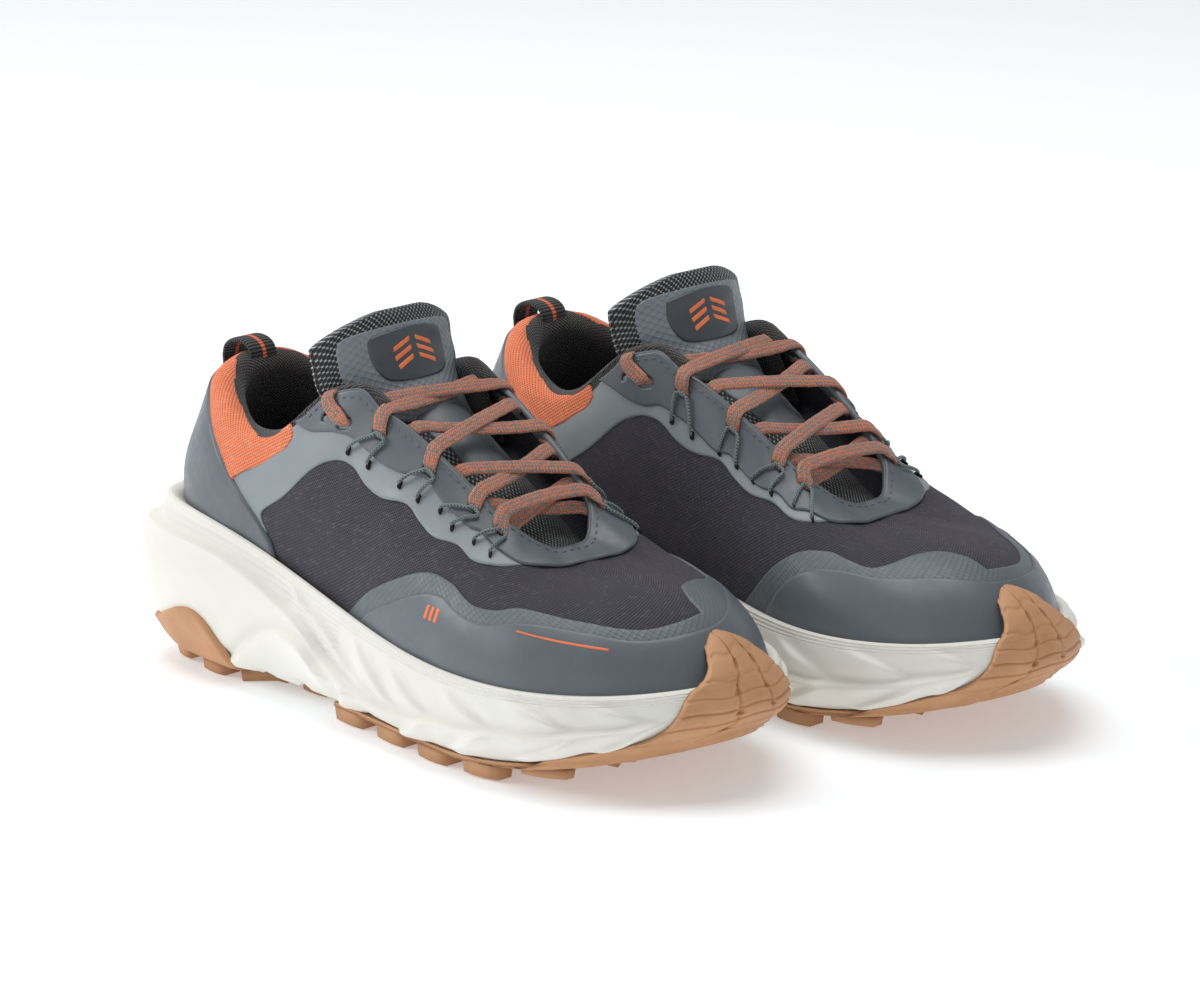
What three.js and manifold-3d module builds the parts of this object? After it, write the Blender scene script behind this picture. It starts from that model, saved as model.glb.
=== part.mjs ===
// A pair of low lace-up trail shoes, built from the sole up as separate pieces.
// Units are millimetres. +X points to the toes, +Z is up, the right shoe stands on the -Y side.
import * as THREE from 'three';
import { mergeVertices } from 'three/addons/utils/BufferGeometryUtils.js';
import Module from 'manifold-3d';

const wasm = await Module();
wasm.setup();

// ---- driving dimensions ----
const PAIR_SPACING = 116;        // centre line to centre line
const LEFT_LEAD = 32;            // the left shoe stands this far ahead
const GAP = 0.35;                // air between touching pieces
const MESH = 1.2;                // knit thickness
const FILM_IN = MESH + 0.8;      // inner face of the overlays
const FILM_OUT = FILM_IN + 1;
const STAY_OUT = FILM_IN + 1.2;  // outer face of the eyestay
const LUG = 4.4;                 // tread depth
const PLATE = 2.4;               // rubber under the foam
const LACE_W = 4.6;
const LACE_T = 1.3;
const LOOP_R = 0.6;
const STAY_FROM = 0.165;         // the eyestay runs from here to 1 - this around the shoe
const STAY_CELLS = 44;
const WALL_ROWS = [0, 0.27, 0.5, 0.78, 1];   // rows of the foam wall, from foot to rim
const SLOT_CELLS = [4, 6, 9, 12, 14];   // cells left open for the lace, from the ankle down
const EDGE_U = [0.25, 0.2865, 0.333, 0.371, 0.404];   // where the lace leaves the throat edge

// ---- outline stations: heel, lateral side, toe, medial side ----
// Each row holds the feather line, the top line and how far the side bulges at three heights.
const UPPER = [
  [[8, 0, 57], [24, 0, 113], [5, 4, 0]],
  [[13, -23, 57], [28, -19, 110], [5, 4, 1]],
  [[36, -36, 58], [46, -31, 100], [4, 4, 2]],
  [[66, -39, 55], [70, -36, 91], [3, 4, 2]],
  [[98, -40, 47], [98, -34, 107], [3, 6, 3]],
  [[128, -43, 40], [122, -27, 116], [5, 8, 3]],
  [[158, -48, 35], [148, -24, 103], [7, 10, 3]],
  [[192, -54, 34], [169, -22, 90], [11, 10, 2]],
  [[227, -51, 34], [184, -20, 78], [15, 9, 1]],
  [[258, -34, 36], [191, -11, 71], [19, 11, 0]],
  [[277, 1, 39], [189, 0, 70], [24, 12, 0]],
  [[266, 25, 38], [191, 11, 71], [19, 11, 0]],
  [[240, 44, 35], [184, 20, 78], [14, 8, 1]],
  [[204, 47, 34], [169, 22, 90], [8, 7, 1]],
  [[164, 40, 38], [148, 24, 103], [5, 7, 1]],
  [[130, 36, 45], [122, 27, 116], [3, 6, 2]],
  [[98, 36, 51], [98, 34, 107], [3, 5, 2]],
  [[66, 36, 56], [70, 36, 91], [3, 4, 2]],
  [[36, 34, 58], [46, 31, 100], [4, 4, 2]],
  [[13, 22, 57], [28, 19, 110], [5, 4, 1]],
];
// Each row holds the foot, the widest point and the rim of the foam wall.
const SOLE = [
  [[2, 0, 13], [-9, 0, 29], [-1, 0, 60]],
  [[7, -32, 12], [-3, -37, 28], [5, -30, 61]],
  [[42, -38, 8], [32, -48, 29], [33, -41, 62]],
  [[72, -40, 7], [68, -48, 27], [68, -44, 58]],
  [[100, -41, 7], [100, -49, 24], [100, -45, 50]],
  [[128, -44, 7], [128, -51, 22], [128, -48, 43]],
  [[160, -49, 7], [160, -56, 21], [159, -53, 38]],
  [[194, -54, 7], [195, -61, 20], [194, -59, 36]],
  [[229, -49, 9], [232, -57, 22], [231, -56, 36]],
  [[256, -32, 14], [265, -38, 25], [263, -38, 38]],
  [[275, 2, 23], [288, 2, 32], [285, 2, 42]],
  [[262, 27, 16], [273, 29, 28], [271, 29, 40]],
  [[238, 43, 9], [244, 50, 23], [243, 49, 38]],
  [[205, 49, 7], [206, 56, 21], [205, 54, 37]],
  [[164, 43, 7], [164, 50, 22], [164, 46, 41]],
  [[130, 38, 7], [130, 45, 24], [130, 41, 48]],
  [[100, 37, 7], [100, 45, 26], [100, 41, 54]],
  [[72, 38, 7], [68, 46, 28], [68, 42, 60]],
  [[42, 36, 8], [32, 46, 30], [33, 39, 62]],
  [[7, 31, 12], [-3, 36, 28], [5, 29, 61]],
];

// ---- curves and surfaces ----
function bspline(rows, u) {
  const n = rows.length;
  const t = (((u % 1) + 1) % 1) * n;
  const i = Math.floor(t);
  const f = t - i;
  const w = [
    (1 - f) ** 3 / 6,
    (3 * f ** 3 - 6 * f ** 2 + 4) / 6,
    (-3 * f ** 3 + 3 * f ** 2 + 3 * f + 1) / 6,
    f ** 3 / 6,
  ];
  const p = new THREE.Vector3();
  w.forEach((weight, k) => p.addScaledVector(rows[(i + k - 1 + n) % n], weight));
  return p;
}

function columns(stations) {
  return stations.map(([base, top, bulge], i) => {
    const a = new THREE.Vector3(...base);
    const b = new THREE.Vector3(...top);
    const before = new THREE.Vector3(...stations.at(i - 1)[0]);
    const after = new THREE.Vector3(...stations[(i + 1) % stations.length][0]);
    const out = after.sub(before).cross(b.clone().sub(a)).normalize();
    return [0, 0.25, 0.5, 0.75, 1].map((f, j) => {
      const p = a.clone().lerp(b, f);
      return j > 0 && j < 4 ? p.addScaledVector(out, bulge[j - 1]) : p;
    });
  });
}

const upperColumns = columns(UPPER);
const upperRows = [0, 1, 2, 3, 4].map((j) => upperColumns.map((c) => c[j]));
const soleRows = [0, 1, 2].map((j) => SOLE.map((s) => new THREE.Vector3(...s[j])));

function upperAt(u, v) {
  const b = [(1 - v) ** 4, 4 * v * (1 - v) ** 3, 6 * v ** 2 * (1 - v) ** 2, 4 * v ** 3 * (1 - v), v ** 4];
  const p = new THREE.Vector3();
  upperRows.forEach((row, j) => p.addScaledVector(bspline(row, u), b[j]));
  return p;
}

function upperNormal(u, v) {
  const d = 0.004;
  const du = upperAt(u + d, v).sub(upperAt(u - d, v));
  const w = THREE.MathUtils.clamp(v, d, 1 - d);
  const dv = upperAt(u, w + d).sub(upperAt(u, w - d));
  return du.cross(dv).normalize();
}

function skin(u, v, offset) {
  return upperAt(u, v).addScaledVector(upperNormal(u, v), offset);
}

function wallAt(u, w) {
  const weights = [(1 - w) * (1 - 2 * w), 4 * w * (1 - w), w * (2 * w - 1)];
  const p = new THREE.Vector3();
  soleRows.forEach((row, j) => p.addScaledVector(bspline(row, u), weights[j]));
  return p;
}

function underside(x) {
  return 7 + 7 * Math.max(0, (32 - x) / 30) ** 2 + 17 * Math.max(0, (x - 188) / 96) ** 1.8;
}

// ---- solids ----
function solid(vertices, faces) {
  const position = new Float32Array(vertices.flatMap((p) => [p.x, p.y, p.z]));
  const index = [];
  faces.forEach((f) => {
    for (let k = 2; k < f.length; k += 1) index.push(f[0], f[k - 1], f[k]);
  });
  let volume = 0;
  const [a, b, c] = [new THREE.Vector3(), new THREE.Vector3(), new THREE.Vector3()];
  for (let k = 0; k < index.length; k += 3) {
    [a, b, c].forEach((p, m) => p.fromArray(position, index[k + m] * 3));
    volume += a.dot(b.cross(c));
  }
  if (volume < 0) index.reverse();
  const geometry = new THREE.BufferGeometry();
  geometry.setAttribute('position', new THREE.BufferAttribute(position, 3));
  geometry.setIndex(index);
  return geometry;
}

// A closed slab over a grid: at(i, j, side) gives its inner (0) and outer (1) face.
function slab(nu, nv, at, { wrap = false, hole = () => false } = {}) {
  const columnsCount = wrap ? nu : nu + 1;
  const vertices = [];
  const faces = [];
  for (let i = 0; i < columnsCount; i += 1) {
    for (let j = 0; j <= nv; j += 1) vertices.push(at(i, j, 0), at(i, j, 1));
  }
  const id = (i, j, side) => ((i % columnsCount) * (nv + 1) + j) * 2 + side;
  const open = (i, j) => {
    const inside = j >= 0 && j < nv && (wrap || (i >= 0 && i < nu));
    return !inside || hole((i + nu) % nu, j);
  };
  for (let i = 0; i < nu; i += 1) {
    for (let j = 0; j < nv; j += 1) {
      if (open(i, j)) continue;
      const corner = [[i, j], [i + 1, j], [i + 1, j + 1], [i, j + 1]];
      faces.push(corner.map(([a, b]) => id(a, b, 1)));
      faces.push(corner.map(([a, b]) => id(a, b, 0)).reverse());
      const beside = [[i, j - 1], [i + 1, j], [i, j + 1], [i - 1, j]];
      beside.forEach(([a, b], k) => {
        if (!open(a, b)) return;
        const p = corner[k];
        const q = corner[(k + 1) % 4];
        faces.push([id(...q, 1), id(...p, 1), id(...p, 0), id(...q, 0)]);
      });
    }
  }
  const used = [...new Set(faces.flat())];
  const renumber = new Map(used.map((k, n) => [k, n]));
  return solid(used.map((k) => vertices[k]), faces.map((f) => f.map((k) => renumber.get(k))));
}

// A patch of the upper between two heights, u0 to u1 around the shoe.
function patch(u0, u1, nu, low, high, nv, inner, outer, options = {}) {
  const rows = options.rows ?? Array.from({ length: nv + 1 }, (_, j) => j / nv);
  return slab(nu, nv, (i, j, side) => {
    const u = u0 + ((u1 - u0) * i) / nu;
    const v = THREE.MathUtils.lerp(low(u), high(u), rows[j]);
    return skin(u, v, side ? outer : inner);
  }, options);
}

// Rings stacked into a closed body; each cap is a ladder across from side to side.
function stack(rings) {
  const n = rings[0].length;
  const vertices = rings.flat();
  const faces = [];
  for (let r = 0; r + 1 < rings.length; r += 1) {
    for (let i = 0; i < n; i += 1) {
      const k = (i + 1) % n;
      faces.push([r * n + i, r * n + k, (r + 1) * n + k, (r + 1) * n + i]);
    }
  }
  const ladder = (start, flip) => {
    for (let i = 0; i < n / 2; i += 1) {
      const f = [...new Set([i, i + 1, n - i - 1, (n - i) % n])].map((k) => start + k);
      faces.push(flip ? f.reverse() : f);
    }
  };
  ladder(0, true);
  ladder((rings.length - 1) * n, false);
  return solid(vertices, faces);
}

// A band swept along points; side holds the direction of the band's width at each point.
function sweep(path, width, height, corners = 4) {
  const n = path.length;
  const vertices = [];
  path.forEach(({ p, side }, k) => {
    const along = path[Math.min(k + 1, n - 1)].p.clone().sub(path[Math.max(k - 1, 0)].p).normalize();
    const across = side.clone().addScaledVector(along, -side.dot(along)).normalize();
    const up = across.clone().cross(along);
    for (let c = 0; c < corners; c += 1) {
      const angle = (Math.PI * 2 * (c + 0.5)) / corners;
      const q = p.clone().addScaledVector(across, (width / Math.SQRT2) * Math.cos(angle));
      vertices.push(q.addScaledVector(up, (height / Math.SQRT2) * Math.sin(angle)));
    }
  });
  const faces = [];
  for (let k = 0; k + 1 < n; k += 1) {
    for (let c = 0; c < corners; c += 1) {
      const d = (c + 1) % corners;
      faces.push([k * corners + c, k * corners + d, (k + 1) * corners + d, (k + 1) * corners + c]);
    }
  }
  const cap = Array.from({ length: corners }, (_, c) => c);
  faces.push([...cap].reverse(), cap.map((c) => (n - 1) * corners + c));
  return solid(vertices, faces);
}

function toManifold(geometry) {
  const clean = geometry.clone();
  clean.deleteAttribute('normal');
  clean.deleteAttribute('uv');
  const merged = mergeVertices(clean, 1e-4);
  const mesh = new wasm.Mesh({
    numProp: 3,
    vertProperties: new Float32Array(merged.attributes.position.array),
    triVerts: new Uint32Array(merged.index.array),
  });
  return new wasm.Manifold(mesh);
}

function fromManifold(body) {
  const mesh = body.getMesh();
  const geometry = new THREE.BufferGeometry();
  geometry.setAttribute('position', new THREE.BufferAttribute(mesh.vertProperties.slice(), 3));
  geometry.setIndex(Array.from(mesh.triVerts));
  return geometry;
}

// ---- soles ----
function midsole() {
  const n = 52;
  const ring = (at) => Array.from({ length: n }, (_, i) => at(i / n));
  const inner = (u, rise) => skin(u, 0, 0).add(new THREE.Vector3(0, 0, rise))
    .addScaledVector(upperNormal(u, 0).setZ(0).normalize(), MESH + 0.9);
  const foot = (u) => {
    const p = wallAt(u, 0);
    return p.setZ(underside(p.x));
  };
  return stack([
    ring(foot),
    ...WALL_ROWS.slice(1).map((w) => ring((u) => wallAt(u, w))),
    ring((u) => inner(u, 2)),
    ring((u) => inner(u, -1)),
  ]);
}

// Half widths of a ring on the lateral (0) and medial (1) side at a given x.
function halfWidths(ringAt, x) {
  const n = 160;
  const y = [0, 0];
  const z = [0, 0];
  for (let i = 0; i < n; i += 1) {
    const a = ringAt(i / n);
    const b = ringAt((i + 1) / n);
    if ((a.x - x) * (b.x - x) > 0 || a.x === b.x) continue;
    const p = a.lerp(b, (x - a.x) / (b.x - a.x));
    const side = i < n / 2 ? 0 : 1;
    y[side] = p.y;
    z[side] = p.z;
  }
  return { y, z };
}

function footPlate(x0, x1, inset, low, high, nx = 16) {
  const edge = (u) => upperAt(u, 0);
  return slab(nx, 2, (i, j, side) => {
    const f = (1 - Math.cos((Math.PI * i) / nx)) / 2;
    const x = x0 + (x1 - x0) * f;
    const { y, z } = halfWidths(edge, x);
    const t = j / 2;
    const yy = THREE.MathUtils.lerp(y[0] + inset, y[1] - inset, t);
    const zz = THREE.MathUtils.lerp(z[0], z[1], t);
    return new THREE.Vector3(x, yy, zz + (side ? high : low));
  });
}

function treadPlate(x0, x1, nx) {
  const edge = (u) => wallAt(u, 0);
  const toe = edge(0.5).x - 0.6;
  return slab(nx, 2, (i, j, side) => {
    const x = x0 + ((x1 - x0) * i) / nx;
    const { y } = halfWidths(edge, Math.min(x, toe));
    const z = underside(x) - GAP - (side ? 0 : PLATE);
    return new THREE.Vector3(x, THREE.MathUtils.lerp(y[0] - 0.9, y[1] + 0.9, j / 2), z);
  });
}

function lug(x, y, long, wide, turn) {
  const box = new THREE.BoxGeometry(long, wide, LUG + 0.5);
  box.rotateZ(turn);
  const low = underside(x) - 7;
  box.translate(x, y, low + (LUG + 0.5) / 2);
  return toManifold(box);
}

function tread(x0, x1, rows, nx) {
  let body = toManifold(treadPlate(x0, x1, nx));
  for (let k = 0; k < rows; k += 1) {
    const x = x0 + 8 + ((x1 - x0 - 18) * k) / (rows - 1);
    const { y } = halfWidths((u) => wallAt(u, 0), x);
    const middle = (y[0] + y[1]) / 2;
    const half = (y[1] - y[0]) / 2;
    body = body.add(lug(x, y[0] + 6.5, 10, 9, 0.15));
    body = body.add(lug(x, y[1] - 6.5, 10, 9, -0.15));
    body = body.add(lug(x + 5, middle - half * 0.32, 9, 10, -0.5));
    body = body.add(lug(x + 5, middle + half * 0.32, 9, 10, 0.5));
  }
  return body;
}

function toeBumper() {
  const rows = WALL_ROWS;
  return toManifold(slab(14, rows.length, (i, j, side) => {
    const u = 0.447 + (0.108 * i) / 14;
    const outward = upperNormal(u, 0).setZ(0).normalize();
    const edgeFade = Math.min(1, Math.min(i, 14 - i) / 2 + 0.4);
    const out = side ? GAP + 2.8 * edgeFade : GAP;
    if (j === rows.length) return skin(u, 0.17, FILM_OUT + out);
    const p = wallAt(u, rows[j]);
    if (j === 0) p.setZ(underside(p.x) - GAP - 0.8 * PLATE);
    return p.addScaledVector(outward, out);
  }));
}

// ---- upper ----
const smooth = (a, b, x) => THREE.MathUtils.smoothstep(x, a, b);
const throatSide = (u) => Math.abs(u - 0.5);        // 0 at the toe, 0.5 at the heel
const meshTop = (u) => 0.84 + 0.16 * smooth(0.265, 0.3, throatSide(u));
const stayLow = (u) => 0.76 + 0.1 * smooth(0.28, 0.34, throatSide(u));
const bandLow = (u) => 0.6 - 0.3 * smooth(0.22, 0.36, throatSide(u));
const bandHigh = (u) => stayLow(u) - 0.02;
const guardHigh = (u) => 0.36 + 0.16 * Math.cos((u - 0.5) * 26) * smooth(0.02, 0.1, throatSide(u));

// The heel clip is a wedge with its point up the back of the heel.
const clipHigh = (u) => Math.max(0.93 - 71.5 * Math.abs(u) ** 2.62, 0.2);

function heelClip() {
  return patch(-0.16, 0.16, 26, () => 0.1, clipHigh, 6, FILM_IN, FILM_OUT);
}

function heelPanel() {
  const corner = (u) => 0.64 * smooth(0.135, 0.15, Math.abs(u));
  const low = (u) => Math.min(Math.max(clipHigh(u) + 0.02, corner(u)), 0.95);
  return patch(-0.158, 0.158, 22, low, () => 0.985, 3, FILM_IN, FILM_OUT);
}

function eyestay() {
  const slots = new Set(SLOT_CELLS.flatMap((c) => [c, STAY_CELLS - 1 - c]));
  return patch(STAY_FROM, 1 - STAY_FROM, STAY_CELLS, stayLow, () => 1, 3, FILM_IN, STAY_OUT, {
    rows: [0, 0.45, 0.76, 1],
    hole: (i, j) => j === 1 && slots.has(i),
  });
}

function slotAt(k, medial) {
  const u = STAY_FROM + ((SLOT_CELLS[k] + 0.5) / STAY_CELLS) * (1 - 2 * STAY_FROM);
  return medial ? 1 - u : u;
}

function slotHeight(u) {
  return THREE.MathUtils.lerp(stayLow(u), 1, 0.605);
}

// ---- tongue ----
const tongueLine = new THREE.CatmullRomCurve3([
  [198, 59], [190, 65], [180, 73], [164, 85], [147, 97], [131, 107], [119, 117], [112, 129], [108, 142],
].map(([x, z]) => new THREE.Vector3(x, 0, z)));

function tongueAt(s, t, offset) {
  const c = tongueLine.getPoint(s);
  const d = tongueLine.getTangent(s);
  const half = (15 + 11 * smooth(0, 0.5, s) + 5 * smooth(0.68, 0.85, s)) * (1 - 0.25 * smooth(0.9, 1.04, s));
  const sag = THREE.MathUtils.lerp(4, 15, smooth(0, 0.5, s)) - 3 * smooth(0.75, 1, s);
  const up = new THREE.Vector3(d.z, 0, -d.x);
  if (up.z < 0) up.negate();
  const p = c.clone().setY(half * t).addScaledVector(up, -sag * t * t + offset);
  return p;
}

function tonguePiece(s0, s1, n, low, high, t = 1, nt = 6) {
  return slab(n, nt, (i, j, side) => {
    const s = s0 + ((s1 - s0) * i) / n;
    return tongueAt(s, t * ((2 * j) / nt - 1), side ? high : low);
  });
}

// ---- lace ----
function tongueAtX(x) {
  let [low, high] = [0, 1];
  for (let k = 0; k < 30; k += 1) {
    const middle = (low + high) / 2;
    if (tongueLine.getPoint(middle).x > x) low = middle;
    else high = middle;
  }
  return low;
}

function laceRoute() {
  const over = STAY_OUT + GAP + LACE_T / 2 + 0.1;
  const under = -0.1;
  const path = [];
  const onSkin = (u, v, offset) => {
    const d = upperAt(u + 0.004, 1).sub(upperAt(u - 0.004, 1)).normalize();
    path.push({ p: skin(u, v, offset), side: u > 0.5 ? d.negate() : d });
  };
  const edgeAt = (k, medial) => (medial ? 1 - EDGE_U[k] : EDGE_U[k]);
  // Down through a slot from outside; reversed, it comes up out of the slot.
  const throughSlot = (k, medial, up = false) => {
    const u = slotAt(k, medial);
    const v = slotHeight(u);
    const steps = [[1.03, over], [1, over], [v + 0.024, over], [v, over - 1.4], [v, under + 0.8], [v + 0.024, under]];
    (up ? steps.reverse() : steps).forEach(([height, offset]) => onSkin(u, height, offset));
  };
  // Below the throat edge, on the way in to the tongue or, with out set, on the way back.
  const underEdge = (k, medial, out = false) => {
    const heights = out ? [1.04, 1] : [1, 1.04];
    heights.forEach((v) => onSkin(edgeAt(k, medial), v, under));
  };
  // Across the tongue from one throat edge to the other, highest in the middle.
  const across = (fromMedial, u0, u1, lift, first, last) => {
    const s0 = tongueAtX(upperAt(u0, 1).x);
    const s1 = tongueAtX(upperAt(u1, 1).x);
    const heights = [[-0.5, first], [-0.25, (first + lift) / 2], [0, lift], [0.25, (last + lift) / 2], [0.5, last]];
    heights.forEach(([t, high]) => {
      const s = THREE.MathUtils.lerp(s0, s1, (t + 0.9) / 1.8);
      path.push({ p: tongueAt(s, fromMedial ? -t : t, high), side: tongueLine.getTangent(s).negate() });
    });
  };
  const tail = (medial) => [[0.95, -1.4], [0.99, -1.3], [1.045, 0.9], [1.03, over], [0.985, over]]
    .map(([v, offset]) => [medial ? 0.784 : 0.216, v, offset]);
  const down = (k, medial, lift) => {          // from an edge to the next slot across
    underEdge(k, medial);
    const to = slotAt(k + 1, !medial);
    across(medial, edgeAt(k, medial), to, lift, 1.9, Math.max(lift, 2.6));
    throughSlot(k + 1, !medial);
  };
  const back = (k, medial, lift) => {          // out of a slot and under the edge above it
    throughSlot(k, medial, true);
    across(medial, slotAt(k, medial), edgeAt(k - 1, !medial), lift, Math.max(lift, 2.6), 1.3);
    underEdge(k - 1, !medial, true);
  };
  tail(false).forEach((step) => onSkin(...step));
  throughSlot(0, false);
  path.splice(5, 2);
  down(0, false, 3.8);
  down(1, true, 3.1);
  down(2, false, 3.8);
  underEdge(3, true);
  across(true, edgeAt(3, true), edgeAt(4, false), 3.3, 1.9, 1.7);
  underEdge(4, false, true);
  throughSlot(4, false, true);
  across(false, slotAt(4, false), slotAt(4, true), 5.4, 4.3, 4.3);
  throughSlot(4, true);
  underEdge(4, true);
  across(true, edgeAt(4, true), edgeAt(3, false), 1.5, 1.6, 1.6);
  underEdge(3, false, true);
  back(3, false, 1.5);
  back(2, true, 1.4);
  back(1, false, 1.4);
  throughSlot(0, true, true);
  path.splice(-2, 2);
  tail(true).reverse().forEach((step) => onSkin(...step));
  return path;
}

// A thin cord that holds the lace: up from the band, across below a slot, and down again.
function laceLoop(u) {
  const low = bandHigh(u) - 0.05;
  const top = slotHeight(u) - 0.052;
  const steps = [[-0.007, low, FILM_OUT], [-0.006, stayLow(u), STAY_OUT], [-0.003, top, STAY_OUT]];
  const mirrored = steps.map(([du, v, out]) => [-du, v, out]).reverse();
  const path = [...steps, ...mirrored].map(([du, v, out]) => ({
    p: skin(u + du, v, out + GAP + LOOP_R),
    side: upperNormal(u, v),
  }));
  return sweep(path, LOOP_R * 2, LOOP_R * 2);
}

function pullLoop() {
  const heel = (v, out) => ({ p: skin(0, v, FILM_OUT + out), side: new THREE.Vector3(0, 1, 0) });
  const top = skin(0, 1, 0);
  const free = (x, z) => ({ p: top.clone().add(new THREE.Vector3(x, 0, z)), side: new THREE.Vector3(0, 1, 0) });
  const path = [heel(0.56, 1.2), heel(0.72, 1.3), heel(0.86, 4.5)];
  path.push(free(-8.5, 3), free(-6, 8), free(-1, 9.8), free(3.5, 7.5), free(4.2, 2.2));
  return sweep(path, 12, 1.5);
}

// ---- one right shoe, as named geometries with a colour, roughness and kind ----
function rightShoe() {
  const keeperS = tongueAtX(144);
  const hinge = tongueAtX(115.5);
  const rubber = [0xc8946c, 0.75];
  const film = [0x555c62, 0.45];
  const knit = [0x3a3840, 0.9];
  const board = [0xcfc8b8, 0.9];
  const pieces = {
    outsole_forefoot: [fromManifold(tread(118, 274, 8, 12).add(toeBumper())), ...rubber],
    outsole_heel: [fromManifold(tread(14, 100, 4, 8)), ...rubber],
    midsole: [midsole(), 0xe6e4dc, 0.7],
    strobel_board: [footPlate(13, 268, 3, 0.3, 1.8), ...board],
    sockliner: [footPlate(15, 257, 5, 2.5, 6.5), 0x4a4a4c, 0.9],
    upper_mesh: [patch(0, 1, 60, () => 0.002, meshTop, 6, 0, MESH, { wrap: true }), ...knit],
    toe_guard: [patch(0.24, 0.76, 34, () => 0.1, guardHigh, 3, FILM_IN, FILM_OUT), ...film],
    eyestay: [eyestay(), 0x5e656b, 0.45],
    quarter_band_lateral: [patch(0.165, 0.42, 16, bandLow, bandHigh, 2, FILM_IN, FILM_OUT), 0x8d959b, 0.5],
    quarter_band_medial: [patch(0.58, 0.835, 16, bandLow, bandHigh, 2, FILM_IN, FILM_OUT), 0x8d959b, 0.5],
    heel_panel: [heelPanel(), 0xf0764c, 0.85],
    heel_clip: [heelClip(), ...film],
    heel_counter: [patch(-0.1, 0.1, 8, () => 0.12, () => 0.5, 2, -1.5, -GAP), ...board],
    toe_puff: [patch(0.44, 0.56, 6, () => 0.1, () => 0.5, 2, -2.1, -1), ...board],
    collar_foam: [patch(-0.2, 0.2, 14, () => 0.54, () => 0.96, 2, -3.6, -0.6), 0xd8c25a, 0.95],
    collar_lining: [patch(-0.2, 0.2, 20, () => 0.3, () => 1, 4, -6, -4.4), 0x3d3734, 0.95],
    tongue_base: [tonguePiece(0.05, hinge - 0.008, 10, -4, 0), 0x6f7174, 0.9],
    tongue_top: [tonguePiece(hinge + 0.008, 1, 6, -5, 0), 0x6f7174, 0.9],
    tongue_badge: [tonguePiece(hinge + 0.07, 0.93, 3, GAP, 1.1, 0.6, 4), 0x4e5459, 0.4],
    lace_keeper: [slab(6, 2, (i, j, side) => {
      const bridge = i === 0 || i === 6 ? GAP : 4.5;
      return tongueAt(keeperS + (i - 3) * 0.02, (j - 1) * 0.3, bridge + side);
    }), ...film],
    pull_loop: [pullLoop(), 0x232324, 0.8],
    lace: [sweep(laceRoute(), LACE_W, LACE_T), 0xe8804f, 0.85],
  };
  [['lateral', false], ['medial', true]].forEach(([sideName, medial]) => {
    for (let k = 1; k < SLOT_CELLS.length; k += 1) {
      pieces[`lace_loop_${sideName}_${k}`] = [laceLoop(slotAt(k, medial)), 0x6f7b7b, 0.7];
    }
  });
  return pieces;
}

function mirrored(geometry) {
  const copy = geometry.clone();
  copy.scale(1, -1, 1);
  copy.setIndex(Array.from(copy.index.array).reverse());
  return copy;
}

function shoeGroup(name, pieces, mirror) {
  const group = new THREE.Group();
  group.name = name;
  Object.entries(pieces).forEach(([piece, [geometry, color, roughness]]) => {
    const material = new THREE.MeshStandardMaterial({ color, roughness, metalness: 0 });
    const mesh = new THREE.Mesh(mirror ? mirrored(geometry) : geometry, material);
    mesh.name = `${name}_${piece}`;
    group.add(mesh);
  });
  return group;
}

const pieces = rightShoe();
const right = shoeGroup('right', pieces, false);
const left = shoeGroup('left', pieces, true);
left.position.set(LEFT_LEAD, PAIR_SPACING, 0);

// The origin is the middle of the pair, on the ground.
const pair = new THREE.Group();
pair.name = 'trail_shoes';
pair.add(right, left);
pair.updateMatrixWorld(true);
const box = new THREE.Box3().setFromObject(pair, true);
const middle = box.getCenter(new THREE.Vector3());
[right, left].forEach((shoe) => shoe.position.sub(new THREE.Vector3(middle.x, middle.y, box.min.z)));

export default pair;
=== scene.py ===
"""A pair of low trail shoes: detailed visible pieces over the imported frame.

The shoe's own frame is in millimetres: x from heel to toe, y to the medial side, z up. A place on
the upper is (u, v): u runs once around the shoe from the heel along the lateral side, v from the
feather line (0) to the top line (1).
"""
import math

import bpy
import numpy as np
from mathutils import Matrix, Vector
from mathutils.geometry import delaunay_2d_cdt


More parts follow.
